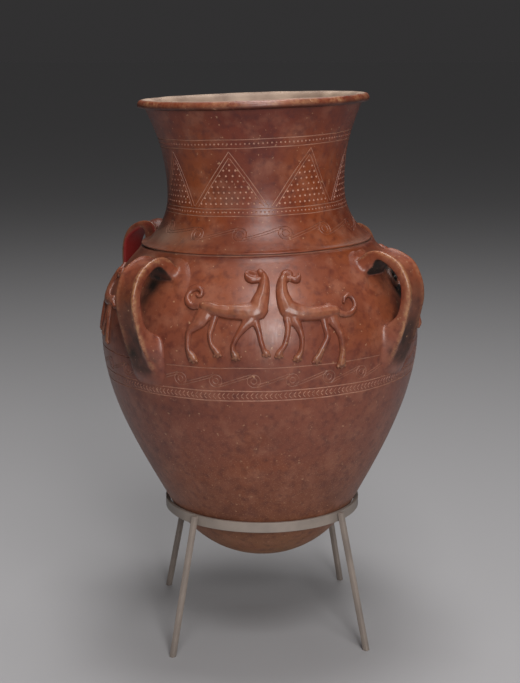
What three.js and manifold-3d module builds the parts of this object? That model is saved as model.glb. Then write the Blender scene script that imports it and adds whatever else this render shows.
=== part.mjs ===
// A tall storage vase of burnished red clay with four strap handles and applied
// relief animals, resting by its round base in a four-legged steel ring stand.
// Millimetres, +Z up. The origin is on the floor, on the axis of the stand's ring.
// Vase shapes are drawn as (radius, height) pairs, with height measured from the
// underside of the vase, and then follow the slight lean that the fired vase has.
// Azimuths are in degrees: 0 is the front, and they grow towards +X.

import * as THREE from 'three';
import { mergeVertices } from 'three/addons/utils/BufferGeometryUtils.js';
import Module from 'manifold-3d';

const wasm = await Module();
wasm.setup();

// Stand
const ringRadius = 127;
const stripHeight = 12.7;
const stripThickness = 4.8;
const standHeight = 174.3;
const barSize = 6.35;
const legReach = 43.4;
const legCount = 4;
const legTurn = 49.65;

// Fits
const gap = 0.3;

// Vase outline, outer surface
const footRadius = 121.9;
const footHeight = 77.1;
const footSlope = 63.1;
const baseFlatness = 83.2;
const bellyRadius = 202.8;
const bellyHeight = 297.1;
const ledgeRadius = 152.6;
const ledgeHeight = 405.8;
const shoulderSlope = 44.7;
const collarRun = 13;
const collarRise = 2.2;
const collarInset = 1.6;
const collarLip = 1.2;
const flareSlope = 39.2;
const waistRadius = 112;
const waistHeight = 479.7;
const mouthRadius = 135.8;
const mouthHeight = 584;
const mouthSlope = 66.8;

// How far the outline is pulled along its direction at each end of a stretch, as a share
// of that stretch's height
const pull = {
  base: 0.114, foot: 0.218, flank: 0.381, shoulder: 0.467, ledge: 0.373,
  flare: 0.4, waist: 0.418, throat: 0.429, mouth: 0.331,
};

// Lip coil
const lipReach = 9.6;
const lipHeight = 11;

// Walls and the seams where the vase's thrown sections were joined
const wall = 9.5;
const lowerSeam = 118;
const beltHeight = 249;

// Facets: steps round a turned form, along a fine line, and along each profile
const turnSteps = 44;
const fineSteps = 60;
const faceSteps = { base: 6, lower: 4, shoulder: 7, neck: 8, lip: 6, envelope: 30 };
const backSteps = { base: 4, lower: 4, shoulder: 7, neck: 6 };

// Lean of the fired vase: how far the mouth has moved, and how the move grows
const lean = 11.1;
const leanPower = 1.55;

// Handles: where each one sits, and how much higher than the others it was pulled
const handles = [
  { name: 'handle_front_left', azimuth: -42, lift: 0 },
  { name: 'handle_front_right', azimuth: 53, lift: 0 },
  { name: 'handle_back_right', azimuth: 139, lift: 0 },
  { name: 'handle_back_left', azimuth: 229.5, lift: 13.5 },
];
const strapWidth = 32;
const strapThickness = 12;
const archRise = 10;
const handleReach = 31.2;
const handleRoot = 396;
const openingFoot = 326;
const handleFoot = 258;
const strapSteps = 20;

// How a strap spreads where it is pressed to the wall: width of its outer and inner face at the
// end, and the share of the strap's length over which it gets there
const upperRoot = { outer: 38, inner: 46, length: 0.16 };
const lowerRoot = { outer: 44, inner: 70, length: 0.3 };

// Relief animals, and the panels that hold them: the pair at the left is smaller and sits higher
const groundHeight = 290;
const reliefRadius = 190;
const beastHeight = 100;
const panels = [
  { name: 'front', raised: 0, scale: 1 },
  { name: 'right', raised: 0, scale: 1 },
  { name: 'back', raised: 0, scale: 1 },
  { name: 'left', raised: 8, scale: 0.85 },
];
const bodyRelief = 7.5;
const limbRelief = 5.2;
const limbStep = 12;
const limbEnd = 0.45;
const limbEndReach = 0.7;
const thinRelief = 0.7;
const fullLimb = 6;
const reliefSeat = 0.7;

// Colours of the finishes
const clay = { color: 0x8a3b24, roughness: 0.42, metalness: 0 };
const paleClay = { color: 0xa0694a, roughness: 0.6, metalness: 0 };
const paint = { color: 0x8d8078, roughness: 0.5, metalness: 0.2 };

const radians = THREE.MathUtils.degToRad;
const point = (radius, height) => new THREE.Vector2(radius, height);
const polar = (angle, length) => point(length, 0).rotateAround(point(0, 0), radians(angle));

// Solids

/** Takes a geometry with only its places left, with the vertices that coincide made one. */
function welded(geometry) {
  const bare = geometry.index ? geometry.toNonIndexed() : geometry.clone();
  for (const name of Object.keys(bare.attributes)) {
    if (name !== 'position') bare.deleteAttribute(name);
  }
  return mergeVertices(bare, 1e-4);
}

/** Volume inside a closed geometry, negative where its faces point inwards. */
function volumeOf(geometry) {
  const place = geometry.attributes.position;
  const corners = [0, 1, 2].map(() => new THREE.Vector3());
  let volume = 0;
  for (let i = 0; i < geometry.index.count; i += 3) {
    corners.forEach((corner, k) => corner.fromBufferAttribute(place, geometry.index.getX(i + k)));
    volume += corners[0].dot(corners[1].clone().cross(corners[2])) / 6;
  }
  return volume;
}

/** Drops triangles without area and turns the faces outwards. */
function closed(geometry) {
  const shape = welded(geometry);
  const kept = [];
  for (let i = 0; i < shape.index.count; i += 3) {
    const [a, b, c] = [0, 1, 2].map((k) => shape.index.getX(i + k));
    if (a !== b && b !== c && c !== a) kept.push(a, b, c);
  }
  shape.setIndex(kept);
  if (volumeOf(shape) < 0) {
    for (let i = 0; i < kept.length; i += 3) [kept[i], kept[i + 1]] = [kept[i + 1], kept[i]];
    shape.setIndex(kept);
  }
  return shape;
}

/** A solid for cutting and joining, made from a closed geometry. */
function solid(geometry) {
  const shape = closed(geometry);
  return new wasm.Manifold(new wasm.Mesh({
    numProp: 3,
    vertProperties: new Float32Array(shape.attributes.position.array),
    triVerts: new Uint32Array(shape.index.array),
  }));
}

/** The geometry of a cut or joined solid. */
function geometryOf(manifold) {
  const mesh = manifold.getMesh();
  const geometry = new THREE.BufferGeometry();
  const places = new Float32Array(mesh.numVert * 3);
  for (let i = 0; i < mesh.numVert; i++) {
    for (let k = 0; k < 3; k++) places[3 * i + k] = mesh.vertProperties[mesh.numProp * i + k];
  }
  geometry.setAttribute('position', new THREE.BufferAttribute(places, 3));
  geometry.setIndex(Array.from(mesh.triVerts));
  return geometry;
}

/** Moves every vertex of a geometry by a function of its place. */
function reshaped(geometry, move) {
  const shape = geometry.clone();
  const place = shape.attributes.position;
  const vertex = new THREE.Vector3();
  for (let i = 0; i < place.count; i++) {
    move(vertex.fromBufferAttribute(place, i));
    place.setXYZ(i, vertex.x, vertex.y, vertex.z);
  }
  return shape;
}

/** A closed skin over rings of points, with a fan over each end. */
function loft(rings) {
  const size = rings[0].length;
  const places = rings.flat();
  const faces = [];
  for (let i = 0; i + 1 < rings.length; i++) {
    for (let k = 0; k < size; k++) {
      const [a, b] = [i * size + k, i * size + (k + 1) % size];
      faces.push(a, b, b + size, a, b + size, a + size);
    }
  }
  for (const [start, flip] of [[0, true], [(rings.length - 1) * size, false]]) {
    const middle = new THREE.Vector3();
    for (let k = 0; k < size; k++) middle.addScaledVector(places[start + k], 1 / size);
    const centre = places.push(middle) - 1;
    for (let k = 0; k < size; k++) {
      const edge = [start + k, start + (k + 1) % size];
      if (flip) edge.reverse();
      faces.push(edge[0], edge[1], centre);
    }
  }
  const geometry = new THREE.BufferGeometry().setFromPoints(places);
  geometry.setIndex(faces);
  return geometry;
}

// Vase outline

const foot = point(footRadius, footHeight);
const belly = point(bellyRadius, bellyHeight);
const ledge = point(ledgeRadius, ledgeHeight);
const collar = ledge.clone().add(polar(180 - shoulderSlope, collarRun));
const neckFoot = collar.clone().add(point(-collarInset, collarRise));
const waist = point(waistRadius, waistHeight);
const mouth = point(mouthRadius, mouthHeight);

/** A smooth stretch between two points, pulled along a direction at each end. */
function stretchBetween(from, fromPull, to, toPull) {
  return new THREE.CubicBezierCurve(from, from.clone().add(fromPull), to.clone().sub(toPull), to);
}

const bodyHeight = bellyHeight - footHeight;
const shoulderHeight = ledgeHeight - bellyHeight;
const neckHeight = waistHeight - neckFoot.y;
const throatHeight = mouthHeight - waistHeight;
const baseCurve = stretchBetween(
  point(0, 0), point(baseFlatness, 0), foot, polar(footSlope, pull.base * footHeight));
const wallCurve = stretchBetween(
  foot, polar(footSlope, pull.foot * bodyHeight), belly, point(0, pull.flank * bodyHeight));
const shoulderCurve = stretchBetween(
  belly, point(0, pull.shoulder * shoulderHeight),
  ledge, polar(180 - shoulderSlope, pull.ledge * shoulderHeight));
const flareCurve = stretchBetween(
  neckFoot, polar(180 - flareSlope, pull.flare * neckHeight), waist, point(0, pull.waist * neckHeight));
const throatCurve = stretchBetween(
  waist, point(0, pull.throat * throatHeight), mouth, polar(mouthSlope, pull.mouth * throatHeight));

const finePoints = (curve) => curve.getPoints(fineSteps);
const bodyLine = [
  ...finePoints(baseCurve),
  ...finePoints(wallCurve).slice(1),
  ...finePoints(shoulderCurve).slice(1),
  collar,
];
const neckLine = [...finePoints(flareCurve), ...finePoints(throatCurve).slice(1)];
const outerLine = [...bodyLine, ...neckLine];

/** Outward direction of a (radius, height) line at one of its points. */
function normalAt(line, index) {
  const before = line[Math.max(index - 1, 0)];
  const after = line[Math.min(index + 1, line.length - 1)];
  const along = after.clone().sub(before).normalize();
  return point(along.y, -along.x);
}

/** The line that runs a distance outside another, with its first point kept on the axis. */
function offsetLine(line, distance) {
  return line.map((p, i) => {
    const moved = p.clone().addScaledVector(normalAt(line, i), distance);
    return i === 0 && p.x === 0 ? point(0, p.y - distance) : moved;
  }).filter((p, i, all) => i === 0 || p.y > all[i - 1].y);
}

/** Where a rising line crosses a height. */
function crossing(line, height) {
  const next = line.findIndex((p) => p.y >= height);
  if (next <= 0) return line[next === 0 ? 0 : line.length - 1].clone();
  const [a, b] = [line[next - 1], line[next]];
  return a.clone().lerp(b, (height - a.y) / (b.y - a.y));
}

const radiusAt = (height) => crossing(outerLine, height).x;

/** The stretch of a line between two heights, in even steps along it. */
function between(line, low, high, steps) {
  const path = [crossing(line, low), ...line.filter((p) => p.y > low && p.y < high), crossing(line, high)];
  const walked = [0];
  for (let i = 1; i < path.length; i++) walked.push(walked[i - 1] + path[i].distanceTo(path[i - 1]));
  const total = walked[walked.length - 1];
  return Array.from({ length: steps + 1 }, (_, step) => {
    const goal = total * step / steps;
    const next = Math.max(1, walked.findIndex((w) => w >= goal - 1e-9));
    const share = (goal - walked[next - 1]) / (walked[next] - walked[next - 1] || 1);
    return path[next - 1].clone().lerp(path[next], share);
  });
}

// Seat of the vase in the ring: the height at which its outline meets the ring's inner edge
const seatRadius = ringRadius - stripThickness - gap / Math.sin(radians(footSlope));
const seatHeight = outerLine.find((p) => p.x >= seatRadius).y;
const vasePlace = standHeight - seatHeight;

/** Moves a point of the upright vase to where the lean of the real one has it. */
function leaned(vertex) {
  const share = Math.max(0, vertex.z - seatHeight) / (mouthHeight - seatHeight);
  const shift = -lean * share ** leanPower;
  const tilt = Math.atan(-lean * leanPower * share ** (leanPower - 1) / (mouthHeight - seatHeight));
  if (share > 0) {
    const across = vertex.x;
    vertex.x = across * Math.cos(tilt) + shift;
    vertex.z -= across * Math.sin(tilt);
  }
  return vertex;
}

/** A turned form: a (radius, height) profile spun round the vase's axis, then leaned. */
function thrown(profile) {
  const spun = new THREE.LatheGeometry(profile, turnSteps).rotateX(Math.PI / 2);
  return closed(reshaped(welded(spun), leaned));
}

const innerBody = offsetLine(bodyLine, -wall);
const innerNeck = offsetLine(neckLine, -wall);
const half = gap / 2;

/** A section of the body's wall between two heights, with level butt joints above and below. */
function wallSection(name, low, high) {
  const face = between(bodyLine, low + half, high - half, faceSteps[name]);
  const back = between(innerBody, low + half, high - half, backSteps[name]).reverse();
  return thrown([...face, ...back, face[0]]);
}

function baseBowl() {
  const face = between(bodyLine, 0, lowerSeam - half, faceSteps.base);
  const back = between(innerBody, wall, lowerSeam - half, backSteps.base).reverse();
  return thrown([...face, ...back]);
}

/** The neck, with a rolled edge that stands a little proud of the shoulder at its foot. */
function neckSection() {
  const low = collar.y + half;
  const edge = [
    point(collar.x, low),
    point(collar.x + collarLip, low + collarRise / 2),
    neckFoot,
  ];
  const face = between(neckLine, neckFoot.y, mouthHeight - half, faceSteps.neck).slice(1);
  const back = between([...innerBody, ...innerNeck.filter((p) => p.y > neckFoot.y)],
    low, mouthHeight - half, backSteps.neck).reverse();
  return thrown([...edge, ...face, ...back, edge[0]]);
}

/** The lip: its underside flares out to a rounded edge, and its top dips inwards. */
function lipCoil() {
  const low = mouthHeight + half;
  const inner = crossing(innerNeck, mouthHeight).x;
  const onLip = (out, rise) => point(mouthRadius + out * lipReach, low + rise * lipHeight);
  const outside = new THREE.SplineCurve([
    onLip(0, 0), onLip(0.75, 0.35), onLip(1, 0.66), onLip(0.75, 0.94), onLip(0.2, 1),
  ]).getPoints(faceSteps.lip);
  const inside = [point(inner + 0.4 * wall, low + 0.75 * lipHeight), point(inner, low)];
  return thrown([...outside, ...inside, outside[0]]);
}

// The vase's filled outline, grown by the gap: it trims what is luted to the wall
const envelopeLine = [
  ...offsetLine(bodyLine, gap),
  point(collar.x + collarLip + gap, collar.y + half),
  point(collar.x + collarLip + gap, neckFoot.y),
  ...offsetLine(neckLine, gap).filter((p) => p.y > neckFoot.y + collarRise),
];
const envelope = (() => {
  const low = between(envelopeLine.slice(0, bodyLine.length), -gap, collar.y, faceSteps.envelope);
  const high = envelopeLine.filter((p) => p.y > collar.y);
  const top = high[high.length - 1];
  return solid(thrown([point(0, -gap), ...low.slice(1), ...high, point(0, top.y)]));
})();

// Handles

const bow = bellyRadius + handleReach;
const rootRadius = radiusAt(handleRoot);

/** The strap's outer line, as (radius, height): over the crown, round the bow and down to the belly. */
function strapOutside(crown, bowHeight) {
  return new THREE.SplineCurve([
    point(rootRadius - strapThickness / 2, handleRoot - strapThickness / 4),
    point(rootRadius + strapThickness / 2, crown - strapThickness / 2),
    point(bow - 3.7 * strapThickness, crown),
    point(bow - 1.4 * strapThickness, crown - 0.9 * strapThickness),
    point(bow - strapThickness / 4, crown - 2.7 * strapThickness),
    point(bow, bowHeight),
    point(bow - strapThickness / 2, openingFoot + strapThickness / 2),
    point(bow - 1.1 * strapThickness, openingFoot - 1.5 * strapThickness),
    point(radiusAt(handleFoot) + 0.8 * strapThickness, handleFoot + 1.8 * strapThickness),
    point(radiusAt(handleFoot) - strapThickness / 3, handleFoot - strapThickness / 4),
  ]);
}

/** The strap's inner line, in steps that match the outer one's. */
function strapInside(crown, bowHeight) {
  return new THREE.SplineCurve([
    point(rootRadius - 1.2 * strapThickness, handleRoot - strapThickness),
    point(rootRadius + strapThickness / 2, crown - 1.45 * strapThickness),
    point(bow - 3.7 * strapThickness, crown - strapThickness),
    point(bow - 2.2 * strapThickness, crown - 1.7 * strapThickness),
    point(bow - 1.2 * strapThickness, crown - 3 * strapThickness),
    point(bow - 1.1 * strapThickness, bowHeight),
    point(bow - 1.5 * strapThickness, openingFoot + 1.1 * strapThickness),
    point(radiusAt(openingFoot) + strapThickness / 4, openingFoot),
    point(radiusAt(openingFoot) - strapThickness / 2, openingFoot - 1.7 * strapThickness),
    point(radiusAt(handleFoot) - 0.8 * strapThickness, handleFoot + 0.8 * strapThickness),
  ]);
}

/**
 * Outline of the strap's section, rounded inside: raised edges and a shallow hollow outside,
 * which runs out into a crown towards the roots.
 */
function strapSection(flare) {
  const edge = THREE.MathUtils.lerp(0.95, 0.75, flare);
  const middle = THREE.MathUtils.lerp(0.75, 1, flare);
  return [
    [-0.75, -1], [0.75, -1], [1, -0.4], [1, 0.35], [0.85, edge],
    [0.4, middle], [-0.4, middle], [-0.85, edge], [-1, 0.35], [-1, -0.4],
  ];
}

/** How much of the nearer root's spread the strap has at a share of its length. */
function flareAt(share, root) {
  const nearest = Math.min(share, 1 - share);
  return THREE.MathUtils.smoothstep(root.length - nearest, 0, 0.8 * root.length);
}

function handle({ azimuth, lift }) {
  const crown = ledgeHeight + archRise + lift;
  const bowHeight = (crown + openingFoot) / 2 - strapThickness;
  const outerLine = strapOutside(crown, bowHeight);
  const innerLine = strapInside(crown, bowHeight);
  const angle = radians(azimuth);
  const out = new THREE.Vector3(Math.sin(angle), -Math.cos(angle), 0);
  const across = new THREE.Vector3(Math.cos(angle), Math.sin(angle), 0);
  const rings = Array.from({ length: strapSteps + 1 }, (_, i) => {
    const share = i / strapSteps;
    const outside = outerLine.getPoint(share);
    const inside = innerLine.getPoint(share);
    const root = share < 0.5 ? upperRoot : lowerRoot;
    const flare = flareAt(share, root);
    const outerWidth = THREE.MathUtils.lerp(strapWidth, root.outer, flare);
    const innerWidth = THREE.MathUtils.lerp(strapWidth, root.inner, flare);
    return strapSection(flare).map(([side, rise]) => {
      const place = inside.clone().lerp(outside, (rise + 1) / 2);
      const width = THREE.MathUtils.lerp(innerWidth, outerWidth, (rise + 1) / 2);
      return new THREE.Vector3(0, 0, place.y)
        .addScaledVector(out, place.x).addScaledVector(across, side * width / 2);
    });
  });
  const strap = solid(reshaped(welded(loft(rings)), leaned));
  return geometryOf(strap.subtract(envelope));
}

// Relief animals

// Each limb is a rolled strip of clay: a route of (along the wall, above the ground, half
// width), from the middle of the panel and in hundredths of the beast's height, and its relief
const leftBeast = [
  { route: [[-84, 71, 5], [-74, 69, 7.5], [-55, 66, 9.5], [-36, 66, 10.5], [-17, 68, 11.5]],
    relief: bodyRelief },
  { route: [[-17, 70, 11.5], [-15, 82, 9], [-12.5, 90, 5.8], [-13, 98, 4]], relief: bodyRelief },
  { route: [[-15, 97, 3], [-28, 98, 3], [-33, 104, 2.6], [-22, 104, 2.6]], relief: limbRelief },
  { route: [[-13, 97, 3.4], [-14, 107, 4]], relief: limbRelief },
  { route: [[-84, 72, 4], [-97, 71, 3.4], [-107, 81, 3.4], [-99, 94, 3], [-87, 88, 2.4], [-92, 84, 1.8]],
    relief: limbRelief },
  { route: [[-76, 66, 9.5], [-88, 54, 7], [-97, 40, 3.6], [-97, 22, 3.2], [-91, 11, 5.4]],
    relief: limbRelief },
  { route: [[-68, 60, 5], [-73, 40, 3.2], [-71, 28, 3], [-64, 18, 4.6]], relief: limbRelief },
  { route: [[-28, 59, 7.5], [-40, 43, 3.8], [-47, 26, 3], [-44, 14, 4.8]], relief: limbRelief },
  { route: [[-21, 56, 5], [-16, 38, 3.2], [-8, 18, 4]], relief: limbRelief },
];
const rightBeast = [
  { route: [[71, 61, 5.5], [61, 61, 8.5], [41, 60, 9], [29, 61, 10], [17, 66, 10.8]], relief: bodyRelief },
  { route: [[17, 67, 10.4], [12.5, 81, 8], [13, 90, 6.5], [17, 97, 4]], relief: bodyRelief },
  { route: [[22, 96, 2.8], [36, 101, 2.8], [39, 96, 2.4], [29, 96, 2]], relief: limbRelief },
  { route: [[19, 97, 3.2], [24, 105, 3.6]], relief: limbRelief },
  { route: [[72, 62, 4.2], [86, 56, 3.3], [101, 60, 3.2], [102, 72, 2.9], [91, 74, 2.3], [87, 69, 1.8]],
    relief: limbRelief },
  { route: [[65, 60, 9], [74, 41, 4.6], [77, 24, 3.2], [74, -1, 5.2]], relief: limbRelief },
  { route: [[57, 54, 5], [59, 35, 3.7], [52, 21, 3.7], [45, 8, 4.8]], relief: limbRelief },
  { route: [[21, 55, 6.5], [28, 35, 3], [27, 21, 3], [23, 12, 4.4]], relief: limbRelief },
  { route: [[14, 57, 5], [12, 37, 3.1], [3, 17, 4.4]], relief: limbRelief },
];

// A rounded strip's section: its flat underside and three points of its crown
const stripSection = [[-1, 0], [1, 0], [0.75, 0.66], [0, 1], [-0.75, 0.66]];

/** Rings of one limb, laid out flat: x along the wall, y up it, z out of it. */
function limb({ route, relief }, scale) {
  const size = scale * beastHeight / 100;
  const path = new THREE.SplineCurve(route.map(([x, y]) => point(x * size, y * size)));
  const steps = Math.max(route.length - 1, Math.round(path.getLength() / limbStep));
  const rings = [];
  const addRing = (share, push, shrink) => {
    const middle = path.getPoint(share);
    const along = path.getTangent(share);
    middle.addScaledVector(along, push * size);
    const place = share * (route.length - 1);
    const low = Math.min(Math.floor(place), route.length - 2);
    const width = shrink * size * THREE.MathUtils.lerp(route[low][2], route[low + 1][2], place - low);
    const fullness = THREE.MathUtils.lerp(thinRelief, 1, Math.min(1, width / fullLimb));
    const rise = relief * fullness * (1 + shrink) / 2;
    rings.push(stripSection.map(([side, out]) =>
      new THREE.Vector3(middle.x - along.y * side * width, middle.y + along.x * side * width,
        reliefSeat + rise * out)));
  };
  addRing(0, -limbEndReach * route[0][2], limbEnd);
  for (let i = 0; i <= steps; i++) addRing(i / steps, 0, 1);
  addRing(1, limbEndReach * route[route.length - 1][2], limbEnd);
  return loft(rings);
}

/** Lays a flat point on the wall: along, up and out become round, up and off the wall. */
function onPanel(azimuth, ground) {
  return (vertex) => {
    const height = ground + vertex.y;
    const angle = radians(azimuth) + vertex.x / reliefRadius;
    const slope = radiusAt(height + wall) - radiusAt(height - wall);
    const normal = point(2 * wall, -slope).normalize();
    const radius = radiusAt(height) + vertex.z * normal.x;
    vertex.set(radius * Math.sin(angle), -radius * Math.cos(angle), height + vertex.z * normal.y);
    return leaned(vertex);
  };
}

function beast(limbs, azimuth, { raised, scale }) {
  const place = onPanel(azimuth, groundHeight + raised);
  const laid = limbs.map((strip) => solid(reshaped(limb(strip, scale), place)));
  return geometryOf(laid.reduce((joined, next) => joined.add(next)));
}

// Stand

function standRing() {
  const inner = ringRadius - stripThickness;
  const low = standHeight - stripHeight;
  const profile = [
    point(inner, low), point(ringRadius, low), point(ringRadius, standHeight), point(inner, standHeight),
  ];
  return closed(new THREE.LatheGeometry([...profile, profile[0]], turnSteps).rotateX(Math.PI / 2));
}

/** A square bar that splays from the ring's outer face to the floor, cut level at both ends. */
function standLeg() {
  const splay = Math.atan(legReach / standHeight);
  const depth = barSize / Math.cos(splay);
  const bar = new THREE.BoxGeometry(barSize, depth, standHeight).translate(0, 0, standHeight / 2);
  return closed(reshaped(bar, (vertex) => {
    vertex.y -= ringRadius + gap + depth / 2 + legReach * (1 - vertex.z / standHeight);
  }));
}

// Assembly

const object = new THREE.Group();
const vase = new THREE.Group();
vase.position.z = vasePlace;
object.add(vase);

function add(group, name, geometry, finish) {
  const piece = new THREE.Mesh(geometry, new THREE.MeshStandardMaterial(finish));
  piece.geometry.computeVertexNormals();
  piece.name = name;
  group.add(piece);
  return piece;
}

add(vase, 'base_bowl', baseBowl(), clay);
add(vase, 'lower_wall', wallSection('lower', lowerSeam, beltHeight), clay);
add(vase, 'shoulder_wall', wallSection('shoulder', beltHeight, collar.y), clay);
add(vase, 'neck', neckSection(), clay);
add(vase, 'rim_lip', lipCoil(), paleClay);

handles.forEach((each) => add(vase, each.name, handle(each), clay));

// Each panel lies between one handle and the next
panels.forEach((panel, i) => {
  const next = i + 1 < handles.length ? handles[i + 1].azimuth : handles[0].azimuth + 360;
  const middle = (handles[i].azimuth + next) / 2;
  add(vase, `beast_${panel.name}_1`, beast(leftBeast, middle, panel), clay);
  add(vase, `beast_${panel.name}_2`, beast(rightBeast, middle, panel), clay);
});

add(object, 'stand_ring', standRing(), paint);
for (let i = 0; i < legCount; i++) {
  const leg = add(object, `stand_leg_${i + 1}`, standLeg(), paint);
  leg.rotation.z = radians(legTurn + i * 360 / legCount);
}

export default object;
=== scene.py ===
"""Looks of a burnished red clay vase with relief animals, standing in a painted steel ring stand.

Shapes are drawn in millimetres. Wall shapes are (radius, height above the vase's underside)
or are laid out flat as (along the wall, up the wall, out of the wall), and are then laid on
the wall, given the unevenness of hand work, leaned as the fired vase leans, and set down in
the ring at the frame's place.
"""
import logging
import math
from dataclasses import dataclass, field
from enum import Enum
from typing import Sequence

import bmesh
import bpy
import numpy as np
from bmesh.types import BMesh
from bpy.types import Material, Mesh, Node, NodeSocket, NodeTree, Object, World
from mathutils import Matrix, Vector, noise


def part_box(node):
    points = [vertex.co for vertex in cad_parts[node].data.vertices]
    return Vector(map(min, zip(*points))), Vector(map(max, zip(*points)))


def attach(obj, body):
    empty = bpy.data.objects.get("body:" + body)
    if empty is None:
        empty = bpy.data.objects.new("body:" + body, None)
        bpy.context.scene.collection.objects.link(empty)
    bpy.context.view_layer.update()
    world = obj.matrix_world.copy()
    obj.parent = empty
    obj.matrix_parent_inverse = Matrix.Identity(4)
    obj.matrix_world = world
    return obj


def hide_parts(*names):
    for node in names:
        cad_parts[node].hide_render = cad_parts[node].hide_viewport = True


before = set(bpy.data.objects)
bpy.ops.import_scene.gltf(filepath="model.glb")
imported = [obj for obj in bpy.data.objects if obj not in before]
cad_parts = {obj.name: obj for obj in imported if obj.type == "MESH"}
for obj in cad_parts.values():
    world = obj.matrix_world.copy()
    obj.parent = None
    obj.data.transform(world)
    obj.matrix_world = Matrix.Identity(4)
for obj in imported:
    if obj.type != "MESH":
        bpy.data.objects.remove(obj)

LOG = logging.getLogger("relief_vase")
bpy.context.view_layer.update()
MM = 0.001
TAU = math.tau
Route = Sequence[Sequence[float]]


class Body(Enum):
    """The moving bodies that pieces ride on."""

    VASE = "vase"
    STAND = "stand"


class Slot(Enum):
    """The record's material slots."""

    CLAY = "clay"
    STEEL = "painted_steel"


# Small helpers


def smooth_at(points: Route, shares: np.ndarray) -> np.ndarray:
    """The smooth curve through points, where 0 is the first point and 1 the last.

    Args:
        points: The points that the curve passes through.
        shares: Places on the curve, as shares of the way from point to point.

    Returns:
        An array with a row for each share.
    """
    knots = np.array(points, float)
    ends = np.vstack([knots[:1], knots, knots[-1:]])
    place = np.clip(shares, 0, 1) * (len(knots) - 1)
    low = np.minimum(place.astype(int), len(knots) - 2)
    t = (place - low)[:, None]
    a, b, c, d = (ends[low + k] for k in range(4))
    return 0.5 * (2 * b + (c - a) * t + (2 * a - 5 * b + 4 * c - d) * t**2
                  + (3 * b - a - 3 * c + d) * t**3)


def smooth_ring(points: Route, count: int) -> np.ndarray:
    """A closed smooth curve.

    Args:
        points: The points that it passes through.
        count: How many points it is made of.

    Returns:
        An array with a row for each point.
    """
    knots = [points[-1], *points, points[0], points[1]]
    shares = (1 + np.linspace(0, len(points), count, endpoint=False)) / (len(knots) - 1)
    return smooth_at(knots, shares)


def walked(points: np.ndarray) -> np.ndarray:
    """The way along a line from its start to each of its points."""
    return np.concatenate([[0], np.cumsum(np.linalg.norm(np.diff(points, axis=0), axis=1))])


def even_shares(points: Route, count: int) -> np.ndarray:
    """Shares of a smooth curve that cut it into equal steps.

    Args:
        points: The points that the curve passes through.
        count: How many steps.

    Returns:
        count + 1 shares.
    """
    shares = np.linspace(0, 1, 24 * len(points))
    way = walked(smooth_at(points, shares)[:, :2])
    return np.interp(np.linspace(0, way[-1], count + 1), way, shares)


def bezier(start: Sequence[float], pull: Sequence[float], push: Sequence[float],
           end: Sequence[float]) -> np.ndarray:
    """A cubic curve from start to end.

    Args:
        start: Its first point.
        pull: The way from start to its first handle.
        push: The way from its second handle to end.
        end: Its last point.

    Returns:
        Points along the curve.
    """
    a, d = np.array(start, float), np.array(end, float)
    b, c = a + np.array(pull), d - np.array(push)
    t = np.linspace(0, 1, 120)[:, None]
    return (1 - t) ** 3 * a + 3 * (1 - t) ** 2 * t * b + 3 * (1 - t) * t * t * c + t**3 * d


def polar(degrees: float, length: float) -> tuple[float, float]:
    """A pull of a length in a direction, as (radius, height)."""
    return length * math.cos(math.radians(degrees)), length * math.sin(math.radians(degrees))


def eased(values: np.ndarray, low: float, high: float) -> np.ndarray:
    """A smooth step from 0 at low to 1 at high, either way round."""
    share = np.clip((values - low) / (high - low), 0, 1)
    return share * share * (3 - 2 * share)


def vectors(items: Sequence, name: str) -> np.ndarray:
    """A vector that each vertex or face of a mesh has.

    Args:
        items: The mesh's vertices or faces.
        name: The vector's name.

    Returns:
        An array with a row for each item.
    """
    values = np.empty(len(items) * 3, np.float32)
    items.foreach_get(name, values)
    return values.reshape(-1, 3).astype(float)


def coordinates(mesh: Mesh) -> np.ndarray:
    """The places of a mesh's vertices, one row each."""
    return vectors(mesh.vertices, "co")


def move_to(mesh: Mesh, places: np.ndarray) -> None:
    """Puts a mesh's vertices at new places."""
    mesh.vertices.foreach_set("co", places.astype(np.float32).ravel())
    mesh.update()


def smooth_noise(places: np.ndarray, size: float, seed: float) -> np.ndarray:
    """Smooth noise from -1 to 1 at places, with lumps of a size in millimetres."""
    offset = Vector((seed, 2.3 * seed, -1.7 * seed))
    return np.array([noise.noise(Vector(p) / size + offset) for p in places])


def radii(places: np.ndarray) -> np.ndarray:
    """How far places lie from the upright axis."""
    return np.hypot(places[:, 0], places[:, 1])


def azimuths(places: np.ndarray) -> np.ndarray:
    """The azimuths of places, in degrees from the front."""
    return np.degrees(np.arctan2(places[:, 0], -places[:, 1]))


def wrapped(points: np.ndarray, angles: np.ndarray) -> np.ndarray:
    """(radius, height) points, each turned round the upright axis to an angle."""
    return np.stack([points[:, 0] * np.sin(angles), -points[:, 0] * np.cos(angles), points[:, 1]], 1)


def rising(profile: np.ndarray) -> np.ndarray:
    """The points of a profile that are higher than all before them."""
    return profile[np.concatenate([[True], np.diff(np.maximum.accumulate(profile[:, 1])) > 0])]


# The vase's form


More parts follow.
